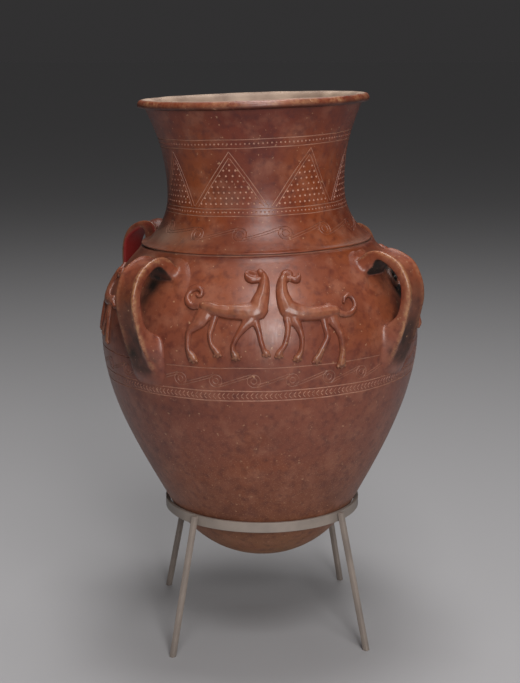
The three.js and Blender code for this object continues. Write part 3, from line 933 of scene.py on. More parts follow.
@dataclass
class Wall:
    """The thrown sections of the vase: base bowl, lower wall, shoulder wall and neck.

    lower_seam, belt and band_top are heights: the two lower joints, and the belly bands' top line.
    The swells and dips are how far the wall stands out or in beside the neck's foot.
    """

    clay: Material
    steps: int = 256
    row: float = 4.0
    lower_seam: float = 118.0
    belt: float = 249.0
    band_top: float = 291.0
    groove_width: float = 1.4
    groove_depth: float = 0.8
    collar_swell: float = 1.3
    collar_dip: float = 0.9
    ledge_swell: float = 3.2

    def face(self, low: float, high: float, grooves: Sequence[float] = ()) -> np.ndarray:
        """Outer profile between two heights, with rounded grooves.

        Args:
            low: The lower height.
            high: The upper height.
            grooves: The heights of the grooves.

        Returns:
            Points as (radius, height), going up.
        """
        start, end = VASE.arc_of(low), VASE.arc_of(high)
        count = max(2, round((end - start) / self.row))
        arcs = np.linspace(start, end, count + 1)
        outs = np.zeros_like(arcs)
        half = self.groove_width / 2
        for height in grooves:
            middle = VASE.arc_of(height)
            far = np.abs(arcs - middle) > 1.2 * half
            dip = middle + half * np.array([-1, -0.5, 0, 0.5, 1])
            arcs = np.concatenate([arcs[far], dip])
            outs = np.concatenate([outs[far], -self.groove_depth * np.array([0, 0.75, 1, 0.75, 0])])
        order = np.argsort(arcs)
        return VASE.point(arcs[order], outs[order])

    def shoulder_top(self) -> np.ndarray:
        """The shoulder's last stretch: a soft swelling, then a groove under the neck's edge."""
        end = VASE.arc_of(VASE.collar[1])
        back = np.array([16, 13, 10, 7.5, 5.5, 4, 2.8, 1.6, 0.6, 0.0])
        swell = self.collar_swell * np.exp(-((back - 6.5) / 3.2) ** 2)
        dip = self.collar_dip * np.exp(-((back - 0.9) / 1.3) ** 2)
        return VASE.point(end - back, swell - dip)

    @staticmethod
    def rolled_edge() -> np.ndarray:
        """The edge at the neck's foot: a small roll that stands proud of the shoulder."""
        middle = np.array(VASE.collar) + (0.1, 1.15)
        angles = np.radians(np.linspace(-80, 75, 7))
        return middle + 1.15 * np.stack([np.cos(angles), np.sin(angles)], 1)

    def back(self, low: float, high: float) -> np.ndarray:
        """Inner profile between two heights.

        Args:
            low: The lower height.
            high: The upper height.

        Returns:
            Points as (radius, height), going down.
        """
        inner = rising(VASE.point(np.linspace(0, VASE.arc[-1], 400), -VASE.wall))
        heights = np.linspace(low, high, max(2, round((high - low) / (2 * self.row))) + 1)
        return np.stack([np.interp(heights, inner[:, 1], inner[:, 0]), heights], 1)[::-1]

    def section(self, node: str, face: np.ndarray, marks: Sequence[Marks] = ()) -> None:
        """One thrown section, closed, carved and finished.

        Args:
            node: The CAD node that it stands for.
            face: Its outer profile, from its lower to its upper joint.
            marks: Marks to carve into it.
        """
        low, high = face[0, 1], face[-1, 1]
        if low > 1:
            profile = np.vstack([face, self.back(low, high), face[:1]])
        else:
            face[0] = (0.0, 0.0)
            profile = np.vstack([face, self.back(VASE.wall + 0.2, high), [[0.0, VASE.wall]]])
        piece = turned(profile, self.steps, f"{node}_clay")
        for layout in marks:
            layout.carve(piece)
        if node == "neck":
            self.swell_ledge(piece.data)
        self.dress(piece)
        finished(piece, Body.VASE, self.clay, node)

    def swell_ledge(self, mesh: Mesh) -> None:
        """Lets the edge at the neck's foot stand out further at the left, where it was left unworked.

        Args:
            mesh: The upright neck.
        """
        places = coordinates(mesh)
        radius, azimuth = radii(places), azimuths(places)
        around = np.exp(-((azimuth + 88) / 34) ** 2) + 0.2 * np.exp(-((azimuth - 80) / 30) ** 2)
        up = np.exp(-((places[:, 2] - VASE.collar[1] - 1.2) / 3.4) ** 2)
        outer = radius > VASE.collar[0] - 0.5 * VASE.wall
        places[:, :2] *= (1 + self.ledge_swell * around * up * outer / np.maximum(radius, 1))[:, None]
        move_to(mesh, places)

    def dress(self, piece: Object) -> None:
        """Says where marks hold dust, where clouds, painted shade and shadow, pale ash, painted highlights
        and the bare inside are, and seats the section.

        Args:
            piece: The upright section.
        """
        mesh = piece.data
        centres = vectors(mesh.polygons, "center")
        depth = VASE.depth(centres)
        height = centres[:, 2]
        # Marks low on the neck were rubbed clean, and those of the neck's upper bands are full
        hold = np.interp(height,
                         [248, 262, 266, 289, 292, 408, 413, 418, 422, 452, 456, 475],
                         [1.7, 1.7, 0.7, 0.7, 0.9, 0.3, 0.6, 0.6, 0.3, 0.3, 0.8, 1.1])
        shallowest, deepest, lowest = -0.12, -2.2, 240.0
        marked = (depth < shallowest) & (depth > deepest) & (height > lowest)
        dusty = marked * np.clip(hold * np.clip((-depth - 0.3) / 0.5, 0.25, 1), 0, 1)
        mark(mesh, "dust", dusty, "FACE")
        # Faces of the inner wall are bare clay, and pale ash and painted highlights pale the wall and the
        # neck's edge
        within = (depth < -0.6 * VASE.wall) & (height > 30)
        mark(mesh, "inside", np.maximum(within, 0.5 * self.patch(centres, ASH_AND_HIGHLIGHTS)), "FACE")
        places = coordinates(mesh)
        # Painted shade under the neck's edge, and painted shadow under the handles
        below = VASE.collar[1] - places[:, 2]
        shade = 0.75 * eased(below, 8.0, 3.0) * (below > 0)
        mark(mesh, "scorch_and_shade", np.maximum(shade, self.patch(places, SCORCH_AND_SHADE)))
        mark(mesh, "ember", self.patch(places, EMBER))
        mark(mesh, "shade_and_soot", self.patch(places, SHADOW_UNDER_HANDLES))
        move_to(mesh, VASE.seated(places))

    @staticmethod
    def patch(places: np.ndarray, spots: Sequence[Sequence[float]]) -> np.ndarray:
        """How strong listed clouds are at places.

        Args:
            places: Places on the upright vase.
            spots: Each cloud's azimuth, height, half width, half height and strength.

        Returns:
            The strength at each place, that of the strongest cloud there.
        """
        azimuth, radius, total = azimuths(places), radii(places), np.zeros(len(places))
        for middle, height, wide, tall, strength in spots:
            turn = np.radians((azimuth - middle + 180) % 360 - 180)
            way = (turn * radius / wide) ** 2 + ((places[:, 2] - height) / tall) ** 2
            np.maximum(total, strength * np.exp(-way), out=total)
        return total

    def neck_marks(self) -> list[Marks]:
        """Bands of punched dots, dotted triangles and running spirals on the neck."""
        bands = []
        for height, size, spacing in ((544.0, 1.5, 5.4), (462.0, 1.35, 5.2)):
            band = Marks(height)
            count, step = band.round_count(spacing)
            for i in range(count):
                band.dot(i * step, 0, size, 0.9)
            bands.append(band)
        bands.append(self.triangles())
        spirals = Marks(436.5)
        self.running_spirals(spirals, count=14, start=-9.6, outer=8.6, inner=4.4, rise=3.2,
                             strays={12: 5.4, 2: 2.0, 7: -2.0})
        bands.append(spirals)
        return bands

    def triangles(self) -> Marks:
        """Tall dotted triangles with doubled borders, scored by eye and so uneven."""
        width, depth = self.groove_width, self.groove_depth
        layout = Marks(468.0, 114.0)
        tall, border, row_step, dot_step = 67.5, 4.5, 6.8, 6.7
        rows, first_row, margin, foot_line = 9, 4.2, 7.1, 0.5
        # Each triangle's left foot, tip and right foot, as azimuths
        seen = [(-80.0, -57.0, -41.5), (-41.0, -15.0, 7.5), (9.5, 35.0, 53.5)]
        edges = np.linspace(seen[-1][2] + 1, seen[0][0] + 359, 6)
        hidden = [(a, (a + b) / 2, b - 1.5) for a, b in zip(edges, edges[1:])]
        for left, top, right in seen + hidden:
            left, top, right = (layout.along(azimuth) for azimuth in (left, top, right))
            for foot, batch in ((left, "left"), (right, "right")):
                layout.line((foot, foot_line), (top, tall), width, depth, batch)
                side = math.copysign(1, foot - top)
                step = border * math.hypot(foot - top, tall) / tall
                drop = step * tall / abs(foot - top)
                layout.line((foot - side * step, foot_line), (top + side * 0.5, tall - drop), width, depth,
                            batch + "_inner")
            for row in range(rows):
                y = first_row + row * row_step
                share = 1 - y / (tall - 3)
                low = top + (left - top) * share + margin
                high = top + (right - top) * share - margin
                if high < low:
                    continue
                count = int((high - low) / dot_step)
                for x in np.linspace(low, high, count + 1) if count else [(low + high) / 2]:
                    layout.dot(float(x), y, 1.6, 1.1)
        return layout

    def running_spirals(self, layout: Marks, count: int, start: float, outer: float, inner: float,
                        rise: float, strays: dict[int, float] | None = None) -> None:
        """Stamped double circles joined by double lines that rise from one to the next.

        Args:
            layout: The layout they go in.
            count: How many go round the wall.
            start: The azimuth of the first.
            outer: The outer circles' radius.
            inner: The inner circles' radius.
            rise: The way between the two lines.
            strays: How much too high some were stamped, by their number.
        """
        width, depth = self.groove_width, self.groove_depth
        pitch = TAU * layout.around / count
        high = [(strays or {}).get(i % count, 0.0) for i in range(count + 1)]
        aside, clear = 3.0, outer + 0.3
        for i in range(count):
            x = layout.along(start) + i * pitch
            layout.ring(x, high[i], outer, width, depth)
            layout.ring(x, high[i], inner, width, depth)
            # Each line starts under one circle and ends over the next, just clear of both
            for lift in (0, rise):
                layout.line((x + aside, high[i] - clear + lift),
                            (x + pitch - aside, high[i + 1] + clear - rise + lift),
                            width, depth, f"tangent_{lift}")

    def belly_marks(self) -> list[Marks]:
        """Running spirals and a herringbone band round the belly."""
        spirals = Marks(275.5)
        self.running_spirals(spirals, count=28, start=-2.0, outer=7.6, inner=3.4, rise=3.0)
        braid = Marks(257.0)
        count, step = braid.round_count(5.6)
        near, far, slant = 0.4, 3.6, 3.0
        for i in range(count):
            for side, batch in ((1, "upper"), (-1, "lower")):
                braid.line((i * step, side * near), (i * step + slant, side * far), 1.3, 0.7, batch)
        return [spirals, braid]

    def build(self) -> None:
        """Makes the four sections."""
        self.section("base_bowl", self.face(0.0, self.lower_seam))
        self.section("lower_wall", self.face(self.lower_seam, self.belt))
        top = self.shoulder_top()
        shoulder = self.face(self.belt, top[0, 1], (self.belt + 2.2, 263.0, self.band_top))
        self.section("shoulder_wall", np.vstack([shoulder[:-1], top]), self.belly_marks())
        edge = self.rolled_edge()
        neck = self.face(VASE.neck_foot[1] + 0.4, VASE.mouth[1], (457.5, 466.0, 538.8, 549.0))
        self.section("neck", np.vstack([edge, neck]), self.neck_marks())


@dataclass
class Lip:
    """The coil that rounds off the mouth, with its bare, pale inner side."""

    clay: Material
    steps: int = 256
    reach: float = 9.6
    height: float = 11.0

    def build(self) -> None:
        """Makes the lip."""
        base = np.array(VASE.mouth)
        inner = VASE.mouth[0] - VASE.wall * math.sin(math.radians(VASE.mouth_slope))
        size = np.array([self.reach, self.height])
        outside = base + size * smooth_at([(0, 0), (0.78, 0.12), (1, 0.44), (0.78, 0.88), (0.2, 1)],
                                          np.linspace(0, 1, 20))
        inside = smooth_at([outside[-1], (inner + 0.4 * VASE.wall, base[1] + 0.75 * self.height),
                            (inner, base[1])], np.linspace(0, 1, 12))[1:]
        piece = turned(np.vstack([outside, inside, outside[:1]]), self.steps, "rim_lip_clay")
        mesh = piece.data
        places = coordinates(mesh)
        radius = radii(places)
        crest = VASE.mouth[0] + 0.45 * self.reach
        # The slip ends on the lip's crest, in an uneven line
        uneven = smooth_noise(places, 16.0, 2.6)
        bare = eased(crest + 0.8 * uneven - radius, -1.5, 2.5)
        bare *= (places[:, 2] > VASE.mouth[1] + 0.6 * self.height) | (radius < VASE.mouth[0] - 3)
        mark(mesh, "inside", bare)
        up = eased(places[:, 2] - VASE.mouth[1], 0.2 * self.height, 0.6 * self.height)
        mark(mesh, "wear", np.clip(0.6 * up * (0.7 + smooth_noise(places, 18.0, 4.4)), 0, 1))
        # The lip is painted darker towards its lower outer side
        mark(mesh, "shade_and_soot", 0.7 * (1 - bare) * (1 - up))
        places[:, 2] += 0.5 * smooth_noise(places, 30.0, 1.9)
        places[:, :2] *= (1 + 0.4 * smooth_noise(places, 24.0, 8.4) / radius)[:, None]
        move_to(mesh, VASE.seated(places))
        finished(piece, Body.VASE, self.clay, "rim_lip")


@dataclass(frozen=True)
class Root:
    """How a strap spreads where it is pressed to the wall.

    outer and inner are the widths of its faces at the end, and length is the share of the
    strap over which it gets there.
    """

    outer: float
    inner: float
    length: float


@dataclass
class Handle:
    """A strap of clay out of the shoulder, over, and down to a wedge against the belly.

    azimuth and twist are in degrees. lift raises the crown. fillet is how far the upper root runs
    out under the strap, in thicknesses, and ear_reach how far the clay beside it is smeared. worn is
    how rubbed the two edges are. slim thins the strap between its roots. slip_from is how squarely a
    face has to look at the vase to keep unworn slip.
    """

    clay: Material
    name: str
    azimuth: float
    lift: float = 0.0
    twist: float = 0.0
    fillet: float = 0.9
    ear_reach: float = 1.0
    worn: tuple[float, float] = (0.7, 0.7)
    slim: float = 1.0
    slip_from: float = 0.25
    width: float = 33.0
    thickness: float = 12.0
    upper: Root = Root(37.0, 58.0, 0.16)
    lower: Root = Root(44.0, 70.0, 0.3)
    arch_rise: float = 10.0
    reach: float = 31.6
    root: float = 396.0
    opening_foot: float = 326.0
    foot: float = 258.0
    steps: int = 90
    corners: int = 40
    voxel: float = 1.0

    def lines(self) -> tuple[np.ndarray, np.ndarray]:
        """The strap's outer and inner lines, as (radius, height), in matching steps."""
        # Both lines start inside the wall at the upper root and end inside it at the foot
        t = self.thickness
        crown = VASE.ledge[1] + self.arch_rise + self.lift
        bow = VASE.belly[0] + self.reach
        root, foot, opening = (float(VASE.radius(h)) for h in (self.root, self.foot, self.opening_foot))
        middle = (crown + self.opening_foot) / 2 - t
        outside = [
            (root - t / 2, self.root - t / 4), (root + t / 2, crown - t / 2), (bow - 3.7 * t, crown),
            (bow - 1.4 * t, crown - 0.9 * t), (bow - t / 4, crown - 2.7 * t), (bow, middle),
            (bow - t / 2, self.opening_foot + t / 2), (bow - 1.1 * t, self.opening_foot - 1.5 * t),
            (foot + 0.8 * t, self.foot + 1.8 * t), (foot - t / 3, self.foot - t / 4)]
        inside = [
            (root - 1.2 * t, self.root - 2.6 * t), (root + self.fillet * t, self.root - 0.7 * t),
            (bow - 3.7 * t, crown - t),
            (bow - 2.2 * t, crown - 1.7 * t), (bow - 1.2 * t, crown - 3 * t), (bow - 1.1 * t, middle),
            (bow - 1.5 * t, self.opening_foot + 1.1 * t), (opening + t / 4, self.opening_foot),
            (opening - t / 2, self.opening_foot - 1.7 * t), (foot - 0.8 * t, self.foot + 0.8 * t)]
        shares = np.linspace(0, 1, self.steps + 1)
        outer, inner = smooth_at(outside, shares), smooth_at(inside, shares)
        left = 1 - (1 - self.slim) * eased(shares, 0.2, 0.45) * eased(1 - shares, 0.08, 0.25)
        return outer, outer + (inner - outer) * left[:, None]

    def section(self, flare: float) -> np.ndarray:
        """The strap's section: raised edges and a shallow hollow, which a root evens out.

        Args:
            flare: How far the strap has spread into its root, from 0 to 1.

        Returns:
            Points as (side, rise), from -1 to 1.
        """
        edge = 1.0 - 0.2 * flare
        middle = 0.72 + 0.28 * flare
        right = [(0.78, -1), (1, -0.45), (1, 0.4), (0.86, edge), (0.45, middle)]
        return smooth_ring([*right, *[(-side, rise) for side, rise in reversed(right)]], self.corners)

    def space(self) -> tuple[np.ndarray, np.ndarray]:
        """The directions out of the vase and sideways at the handle."""
        angle, turn = math.radians(self.azimuth), math.radians(self.azimuth + self.twist)
        outward = np.array([math.sin(angle), -math.cos(angle), 0])
        return outward, np.array([math.cos(turn), math.sin(turn), 0])

    def strap(self, bm: BMesh) -> np.ndarray:
        """Draws the strap's section along its two lines.

        Args:
            bm: Where the strap goes.

        Returns:
            The lines of the strap's two outer edges, as places: the positive side's first.
        """
        outward, sideways = self.space()
        outside, inside = self.lines()
        end = bmesh.ops.create_circle(bm, cap_ends=True, segments=self.corners, radius=1.0)["verts"]
        ridges = [], []
        for i, (far, near) in enumerate(zip(outside, inside)):
            if i:
                top = next(face for face in end[0].link_faces if set(face.verts) == set(end))
                made = bmesh.ops.extrude_discrete_faces(bm, faces=[top])["faces"][0]
                end = list(made.verts)
            place = i / self.steps
            root = self.upper if place < 0.5 else self.lower
            flare = float(eased(np.array(root.length - min(place, 1 - place)), 0, 0.8 * root.length))
            wide = self.width + (root.outer - self.width) * flare
            spread = self.width + (root.inner - self.width) * flare
            for vert, (side, rise) in zip(end, self.section(flare)):
                share = (rise + 1) / 2
                radius, height = near + (far - near) * share
                half = (spread + (wide - spread) * share) / 2
                vert.co = Vector(outward * radius + sideways * side * half + np.array([0, 0, height]))
            for ridge, side in zip(ridges, (0.43, -0.43)):
                ridge.append(outward * far[0] + sideways * side * wide + np.array([0, 0, far[1]]))
        bmesh.ops.recalc_face_normals(bm, faces=bm.faces[:])
        return np.array(ridges)

    def laid(self, bm: BMesh, flat: BMesh, low: float) -> None:
        """Lays a flat form on the wall and adds it to a bmesh.

        Args:
            bm: Where it goes.
            flat: The form, as (along, up, out).
            low: The height of its line up = 0.
        """
        mesh = meshed(flat, "flat")
        move_to(mesh, VASE.lay(coordinates(mesh), self.azimuth, low, 172.0))
        stamp(bm, mesh, [Matrix.Identity(4)])
        bpy.data.meshes.remove(mesh)

    def pads(self, bm: BMesh, sunk: float = 0.6, thick: float = 4.0) -> None:
        """Adds pads under the wall at both roots, for the strap to run out into.

        Args:
            bm: Where they go.
            sunk: How far under the wall they lie.
            thick: How thick they are.
        """
        for low, high, half in ((352.0, 413.0, 58.0), (242.0, 342.0, 48.0)):
            length = float(VASE.arc_of(high) - VASE.arc_of(low))
            pad = bmesh.new()
            bmesh.ops.create_cube(pad, size=1.0)
            bmesh.ops.subdivide_edges(pad, edges=pad.edges[:], cuts=18, use_grid_fill=True)
            bmesh.ops.scale(pad, verts=pad.verts[:], vec=(2 * half, length, thick))
            bmesh.ops.translate(pad, verts=pad.verts[:], vec=(0, length / 2, -thick / 2 - sunk))
            self.laid(bm, pad, low)

    def ears(self, bm: BMesh) -> None:
        """Adds the broad low swellings of clay smeared out beside the upper root.

        Args:
            bm: Where they go.
        """
        base, reach = 360.0, self.ear_reach
        # Each step's way to the side, height, half width and rise
        route = [(9, 402.0, 13.0, 3.6), (18 * reach, 397.0, 13.0, 3.4), (25 * reach, 389.0, 12.0, 3.0),
                 (28 * reach, 381.0, 10.0, 2.4), (30 * reach, 372.0, 8.0, 1.6)]
        small = ball()
        flat = bmesh.new()
        for along, height, width, rise in smooth_at(route, even_shares(route, 30)):
            up = float(VASE.arc_of(height) - VASE.arc_of(base))
            lump = Matrix.Diagonal((width, width, rise, 1))
            stamp(flat, small, [Matrix.Translation((side * along, up, -0.6)) @ lump for side in (-1, 1)])
        bpy.data.meshes.remove(small)
        self.laid(bm, flat, base)

    @staticmethod
    def softened(piece: Object, rubs: int = 110) -> None:
        """Rubs the roots into the wall, and leaves the strap between them as it is.

        Args:
            piece: The upright handle.
            rubs: Rounds of smoothing.
        """
        depth = VASE.depth(coordinates(piece.data))
        weights = 1 - eased(depth, 7.0, 20.0)
        group = piece.vertex_groups.new(name="roots")
        for step in range(11):
            chosen = np.flatnonzero(np.round(10 * weights) == step)
            group.add(chosen.tolist(), step / 10, "REPLACE")
        rubbed(piece, rubs, group.name)
        applied(piece)
        piece.vertex_groups.clear()

    @staticmethod
    def trimmed(piece: Object, sunk: float = 0.5) -> None:
        """Cuts away what lies deeper in the wall than the joint needs.

        Args:
            piece: The upright handle.
            sunk: How far into the wall it stays.
        """
        profile = VASE.point(np.linspace(0, VASE.arc_of(VASE.neck_foot[1]), 160), -sunk)
        profile[0] = (0.0, -sunk)
        profile = rising(profile)
        cut_away(piece, [turned(np.vstack([profile, [[0.0, profile[-1, 1]]]]), 256, "core")])

    def dress(self, mesh: Mesh, ridges: np.ndarray) -> None:
        """Says where the strap is rubbed, painted with shade and shadow, or unworn.

        Args:
            mesh: The upright handle.
            ridges: The lines of its two outer edges.
        """
        places = coordinates(mesh)
        normals = vectors(mesh.vertices, "normal")
        facing, down, height = normals @ self.space()[0], -normals[:, 2], places[:, 2]
        depth = VASE.depth(places)
        off_wall = eased(depth, 2.0, 8.0)
        ragged = 3.0 * smooth_noise(places, 8.0, 6.0 + self.azimuth)
        # The edges are rubbed bare, and the painted dark stops short of a well rubbed edge
        bared, clear = np.zeros(len(places)), np.ones(len(places))
        for ridge, strength in zip(ridges, self.worn):
            gap = ragged + np.min([np.linalg.norm(places - step, axis=1) for step in ridge], axis=0)
            np.maximum(bared, strength * (1 - eased(gap, 1.5, 6.0)), out=bared)
            clear = np.where(strength > 0.5, clear * eased(gap, 3.5, 8.0), clear)
        bared *= off_wall * np.interp(height, [262, 330, 350, 405, 418], [0.35, 0.9, 1, 0.8, 0.4])
        mark(mesh, "wear", bared)
        # The outer face is painted dark below, partly darker clay and partly painted shade; inner and under
        # faces get painted shadow, at the back only near the wall, and so does the wall under the arch
        black = eased(facing, 0.4, 0.75) * off_wall * clear
        black *= np.interp(height, [250, 300, 340, 375, 405], [0.75, 1.0, 0.8, 0.4, 0.0])
        under = eased(-facing, 0.25, 0.6) * off_wall
        if abs(self.azimuth) > 90:
            painted_shadow = under * eased(depth, 28, 14)
        else:
            painted_shadow = np.maximum(under, eased(down, 0.15, 0.5))
        painted_shadow = 1.4 * painted_shadow * eased(height, 350, 385)
        on_wall = Wall.patch(places, SHADOW_UNDER_HANDLES) * eased(depth, 12, 4)
        mark(mesh, "shade_and_soot", np.maximum.reduce([black, painted_shadow, on_wall]))
        fresh = eased(-facing, self.slip_from, self.slip_from + 0.35) * off_wall * eased(height, 335, 360)
        mark(mesh, "fresh", fresh * eased(down, -0.6, -0.2))

    def build(self) -> None:
        """Makes the handle: strap, pads and swellings, pressed together, rubbed and trimmed."""
        bm = bmesh.new()
        ridges = self.strap(bm)
        self.pads(bm)
        self.ears(bm)
        piece = placed(meshed(bm, f"{self.name}_clay"), f"{self.name}_clay")
        pressed(piece, self.voxel, 6)
        self.softened(piece)
        self.trimmed(piece)
        mesh = piece.data
        self.dress(mesh, ridges)
        places = coordinates(mesh)
        uneven = 0.5 * smooth_noise(places, 26.0, 4.0 + self.azimuth)
        uneven *= eased(VASE.depth(places), 2.0, 9.0)
        places += uneven[:, None] * self.space()[0]
        move_to(mesh, VASE.seated(places))
        finished(piece, Body.VASE, self.clay, self.name, sharp=60)


@dataclass(frozen=True)
class Strip:
    """A rolled strip of clay: its route as (along, up, half width), its relief, and its toes."""

    route: Route
    relief: float
    toes: bool = False

    def beads(self) -> list[Matrix]:
        """Places of the close beads that the strip is made of."""
        length = walked(np.array(self.route)[:, :2])[-1]
        shares = even_shares(self.route, max(6, round(length / 1.4)))
        middles = smooth_at(self.route, shares)
        widths = [width for _, _, width in self.route]
        half = np.interp(shares * (len(widths) - 1), range(len(widths)), widths)
        rises = self.relief * (0.7 + 0.3 * np.minimum(1, half / 6))
        beads = [Matrix.Translation((x, y, 0)) @ Matrix.Diagonal((w, w, r, 1))
                 for (x, y, _), w, r in zip(middles, half, rises)]
        if self.toes:
            x, y, width = self.route[-1]
            beads += [Matrix.Translation((x + side * width, y - drop * width, 0))
                      @ Matrix.Diagonal((0.42 * width, 0.5 * width, 0.62 * self.relief, 1))
                      for side, drop in ((-0.8, 0.55), (0, 0.85), (0.8, 0.55))]
        return beads


# How far trunks, near limbs and far limbs stand out, and the animals' strips on the front panel
TRUNK = 8.0
LIMB = 6.0
FAR_LIMB = 4.6
LEFT_BEAST = (
    Strip([(-84, 71, 4.9), (-76, 69.5, 7.6), (-65, 67.4, 7.6), (-51, 66, 9.2), (-38.6, 65.4, 9.7),
           (-26, 65.5, 11.2), (-19, 68, 12.0)], TRUNK),
    Strip([(-18, 69, 11.8), (-16.6, 75, 11.0), (-13.3, 82, 9.2), (-11, 89.5, 8.2), (-9.2, 96.5, 6.2),
           (-10, 101, 5.0)], TRUNK),
    Strip([(-10.5, 99, 4.8), (-12, 103.5, 5.0), (-16, 106, 4.0)], LIMB),
    Strip([(-14, 98.6, 2.6), (-20, 98.4, 3.2), (-26, 98.8, 3.9), (-31, 100.4, 3.6),
           (-34, 103.2, 2.8)], LIMB),
    Strip([(-22, 104.8, 3.0), (-27, 106.2, 3.0), (-32, 106.6, 2.6), (-35, 105.2, 1.9)], LIMB),
    Strip([(-20, 101.6, 2.6), (-31, 103, 2.4)], 3.4),
    Strip([(-85, 73, 4.2), (-96, 70, 3.9), (-103.5, 73, 4.1), (-107.4, 79.5, 4.0), (-105, 86.4, 3.8),
           (-98.4, 89.6, 3.5), (-91.6, 87.8, 3.1), (-88.6, 83.6, 2.6), (-91.6, 81, 2.2),
           (-95, 82, 1.8)], FAR_LIMB),
    Strip([(-80, 66, 9.8), (-83, 60, 9.8), (-87, 54, 8.6), (-92.5, 48, 5.8), (-98, 41, 3.9),
           (-98.5, 29, 3.4), (-97.5, 20, 3.6), (-94, 14, 5.8), (-92, 11.5, 5.0)], LIMB, toes=True),
    Strip([(-69, 59, 4.8), (-71, 50, 3.9), (-73, 40, 3.3), (-71, 29, 3.0), (-66, 22, 4.2), (-64, 19, 4.5)],
          FAR_LIMB, toes=True),
    Strip([(-27, 58, 8.6), (-34, 50, 5.6), (-41, 40, 3.6), (-46, 30, 2.9), (-47, 23, 3.1), (-44.5, 17, 4.9),
           (-44, 15, 4.6)], LIMB, toes=True),
    Strip([(-22, 55, 5.2), (-18.6, 44, 3.5), (-16.4, 33, 3.2), (-13.4, 23, 3.2), (-10.8, 19, 4.3)],
          FAR_LIMB, toes=True),
)
RIGHT_BEAST = (
    Strip([(72, 61, 6.0), (64, 61, 8.3), (53.5, 60.4, 8.3), (43, 60.4, 8.5), (32, 61.5, 9.4), (23, 64, 10.6),
           (17, 67, 11.0)], TRUNK),
    Strip([(16, 67, 11.0), (13.4, 74, 10.2), (11.4, 81.4, 8.7), (11.6, 88.6, 7.8), (13, 95, 6.6),
           (16, 99, 4.8)], TRUNK),
    Strip([(14.6, 99, 5.0), (18, 102.8, 5.2), (22.6, 104, 4.6), (26, 103.6, 3.6)], LIMB),
    Strip([(18, 98, 3.2), (23.6, 99, 3.0), (29.4, 97.6, 3.7), (34, 98.2, 4.2), (37, 100, 3.0),
           (37.4, 102.4, 2.0)], LIMB),
    Strip([(18, 101.2, 4.4), (25, 101, 3.4)], FAR_LIMB),
    Strip([(74, 61, 4.4), (84, 56, 3.5), (95, 57, 3.4), (102, 63, 3.3), (102, 71, 3.0), (97, 76, 2.8),
           (90, 73, 2.4), (87, 69, 1.8)], FAR_LIMB),
    Strip([(66, 62, 9.2), (67.5, 57, 9.0), (69, 50, 7.2), (72.4, 42.8, 5.2), (75.8, 31.5, 4.1),
           (76.3, 16, 3.3), (75.5, 5, 4.8), (74.6, 0, 5.4)], LIMB, toes=True),
    Strip([(57, 54, 5.2), (58, 43, 4.1), (59, 33, 3.9), (53, 22, 3.8), (48, 13, 4.0), (45, 8, 5.0)],
          FAR_LIMB, toes=True),
    Strip([(22, 55, 7.4), (27, 44, 4.2), (29, 33, 3.1), (28, 23, 2.9), (26, 17, 3.3), (23, 12, 4.5)],
          LIMB, toes=True),
    Strip([(14, 56, 5.2), (14, 46, 3.6), (12, 36, 3.3), (9, 27, 3.3), (4, 20, 3.8), (3, 17, 4.5)],
          FAR_LIMB, toes=True),
)


@dataclass(frozen=True)
class Panel:
    """Where a pair of animals goes.

    middle is the panel's azimuth, and raised, scale and relief say how much higher, smaller and
    flatter than the front pair its animals are.
    """

    name: str
    middle: float
    raised: float = 0.0
    scale: float = 1.0
    relief: float = 1.0


@dataclass
class Beast:
    """A relief animal: rolled strips pressed onto the wall and smoothed into each other."""

    clay: Material
    strips: Sequence[Strip]
    ground: float = 290.0
    around: float = 190.0
    voxel: float = 0.6
    sink: float = 0.3

    def __post_init__(self) -> None:
        """Makes the animal once, laid out flat."""
        bead = ball()
        bm = bmesh.new()
        for strip in self.strips:
            stamp(bm, bead, strip.beads())
        bpy.data.meshes.remove(bead)
        flat = placed(meshed(bm, "flat_beast"), "flat_beast")
        pressed(flat, self.voxel, 4)
        self.flat = flat.data
        bpy.data.objects.remove(flat)

    def lay(self, name: str, panel: Panel) -> None:
        """Lays a copy of the animal on the wall.

        Args:
            name: The CAD node that it stands for.
            panel: The panel that it goes on.
        """
        mesh = self.flat.copy()
        piece = placed(mesh, f"{name}_clay")
        flat = coordinates(mesh)
        paws = 0.45 * eased(flat[:, 1], 26, 12) * eased(flat[:, 2], 0.8, 2.5)
        mark(mesh, "wear", np.maximum(paws, 0.22 * np.clip((flat[:, 2] - 4.5) / 3.0, 0, 1)))
        # Painted shade in the crease where the relief meets the wall
        crease = 0.5 * (1 - eased(flat[:, 2], 0.3, 1.6))
        flat[:, 2] = np.where(flat[:, 2] < 0, self.sink * flat[:, 2], flat[:, 2])
        flat[:, 2] += 0.45 * smooth_noise(flat, 7.5, panel.middle) * eased(flat[:, 2], 1.0, 4.0)
        flat *= (panel.scale, panel.scale, panel.relief)
        line = VASE.point(VASE.arc_of(self.ground + panel.raised + flat[:, 1]), flat[:, 2])
        upright = wrapped(line, math.radians(panel.middle) + flat[:, 0] / self.around)
        # Painted shade in that crease, and painted shadow under the handles
        mark(mesh, "shade_and_soot", np.maximum(crease, Wall.patch(upright, SHADOW_UNDER_HANDLES)))
        move_to(mesh, VASE.seated(upright))
        finished(piece, Body.VASE, self.clay, name, sharp=70)


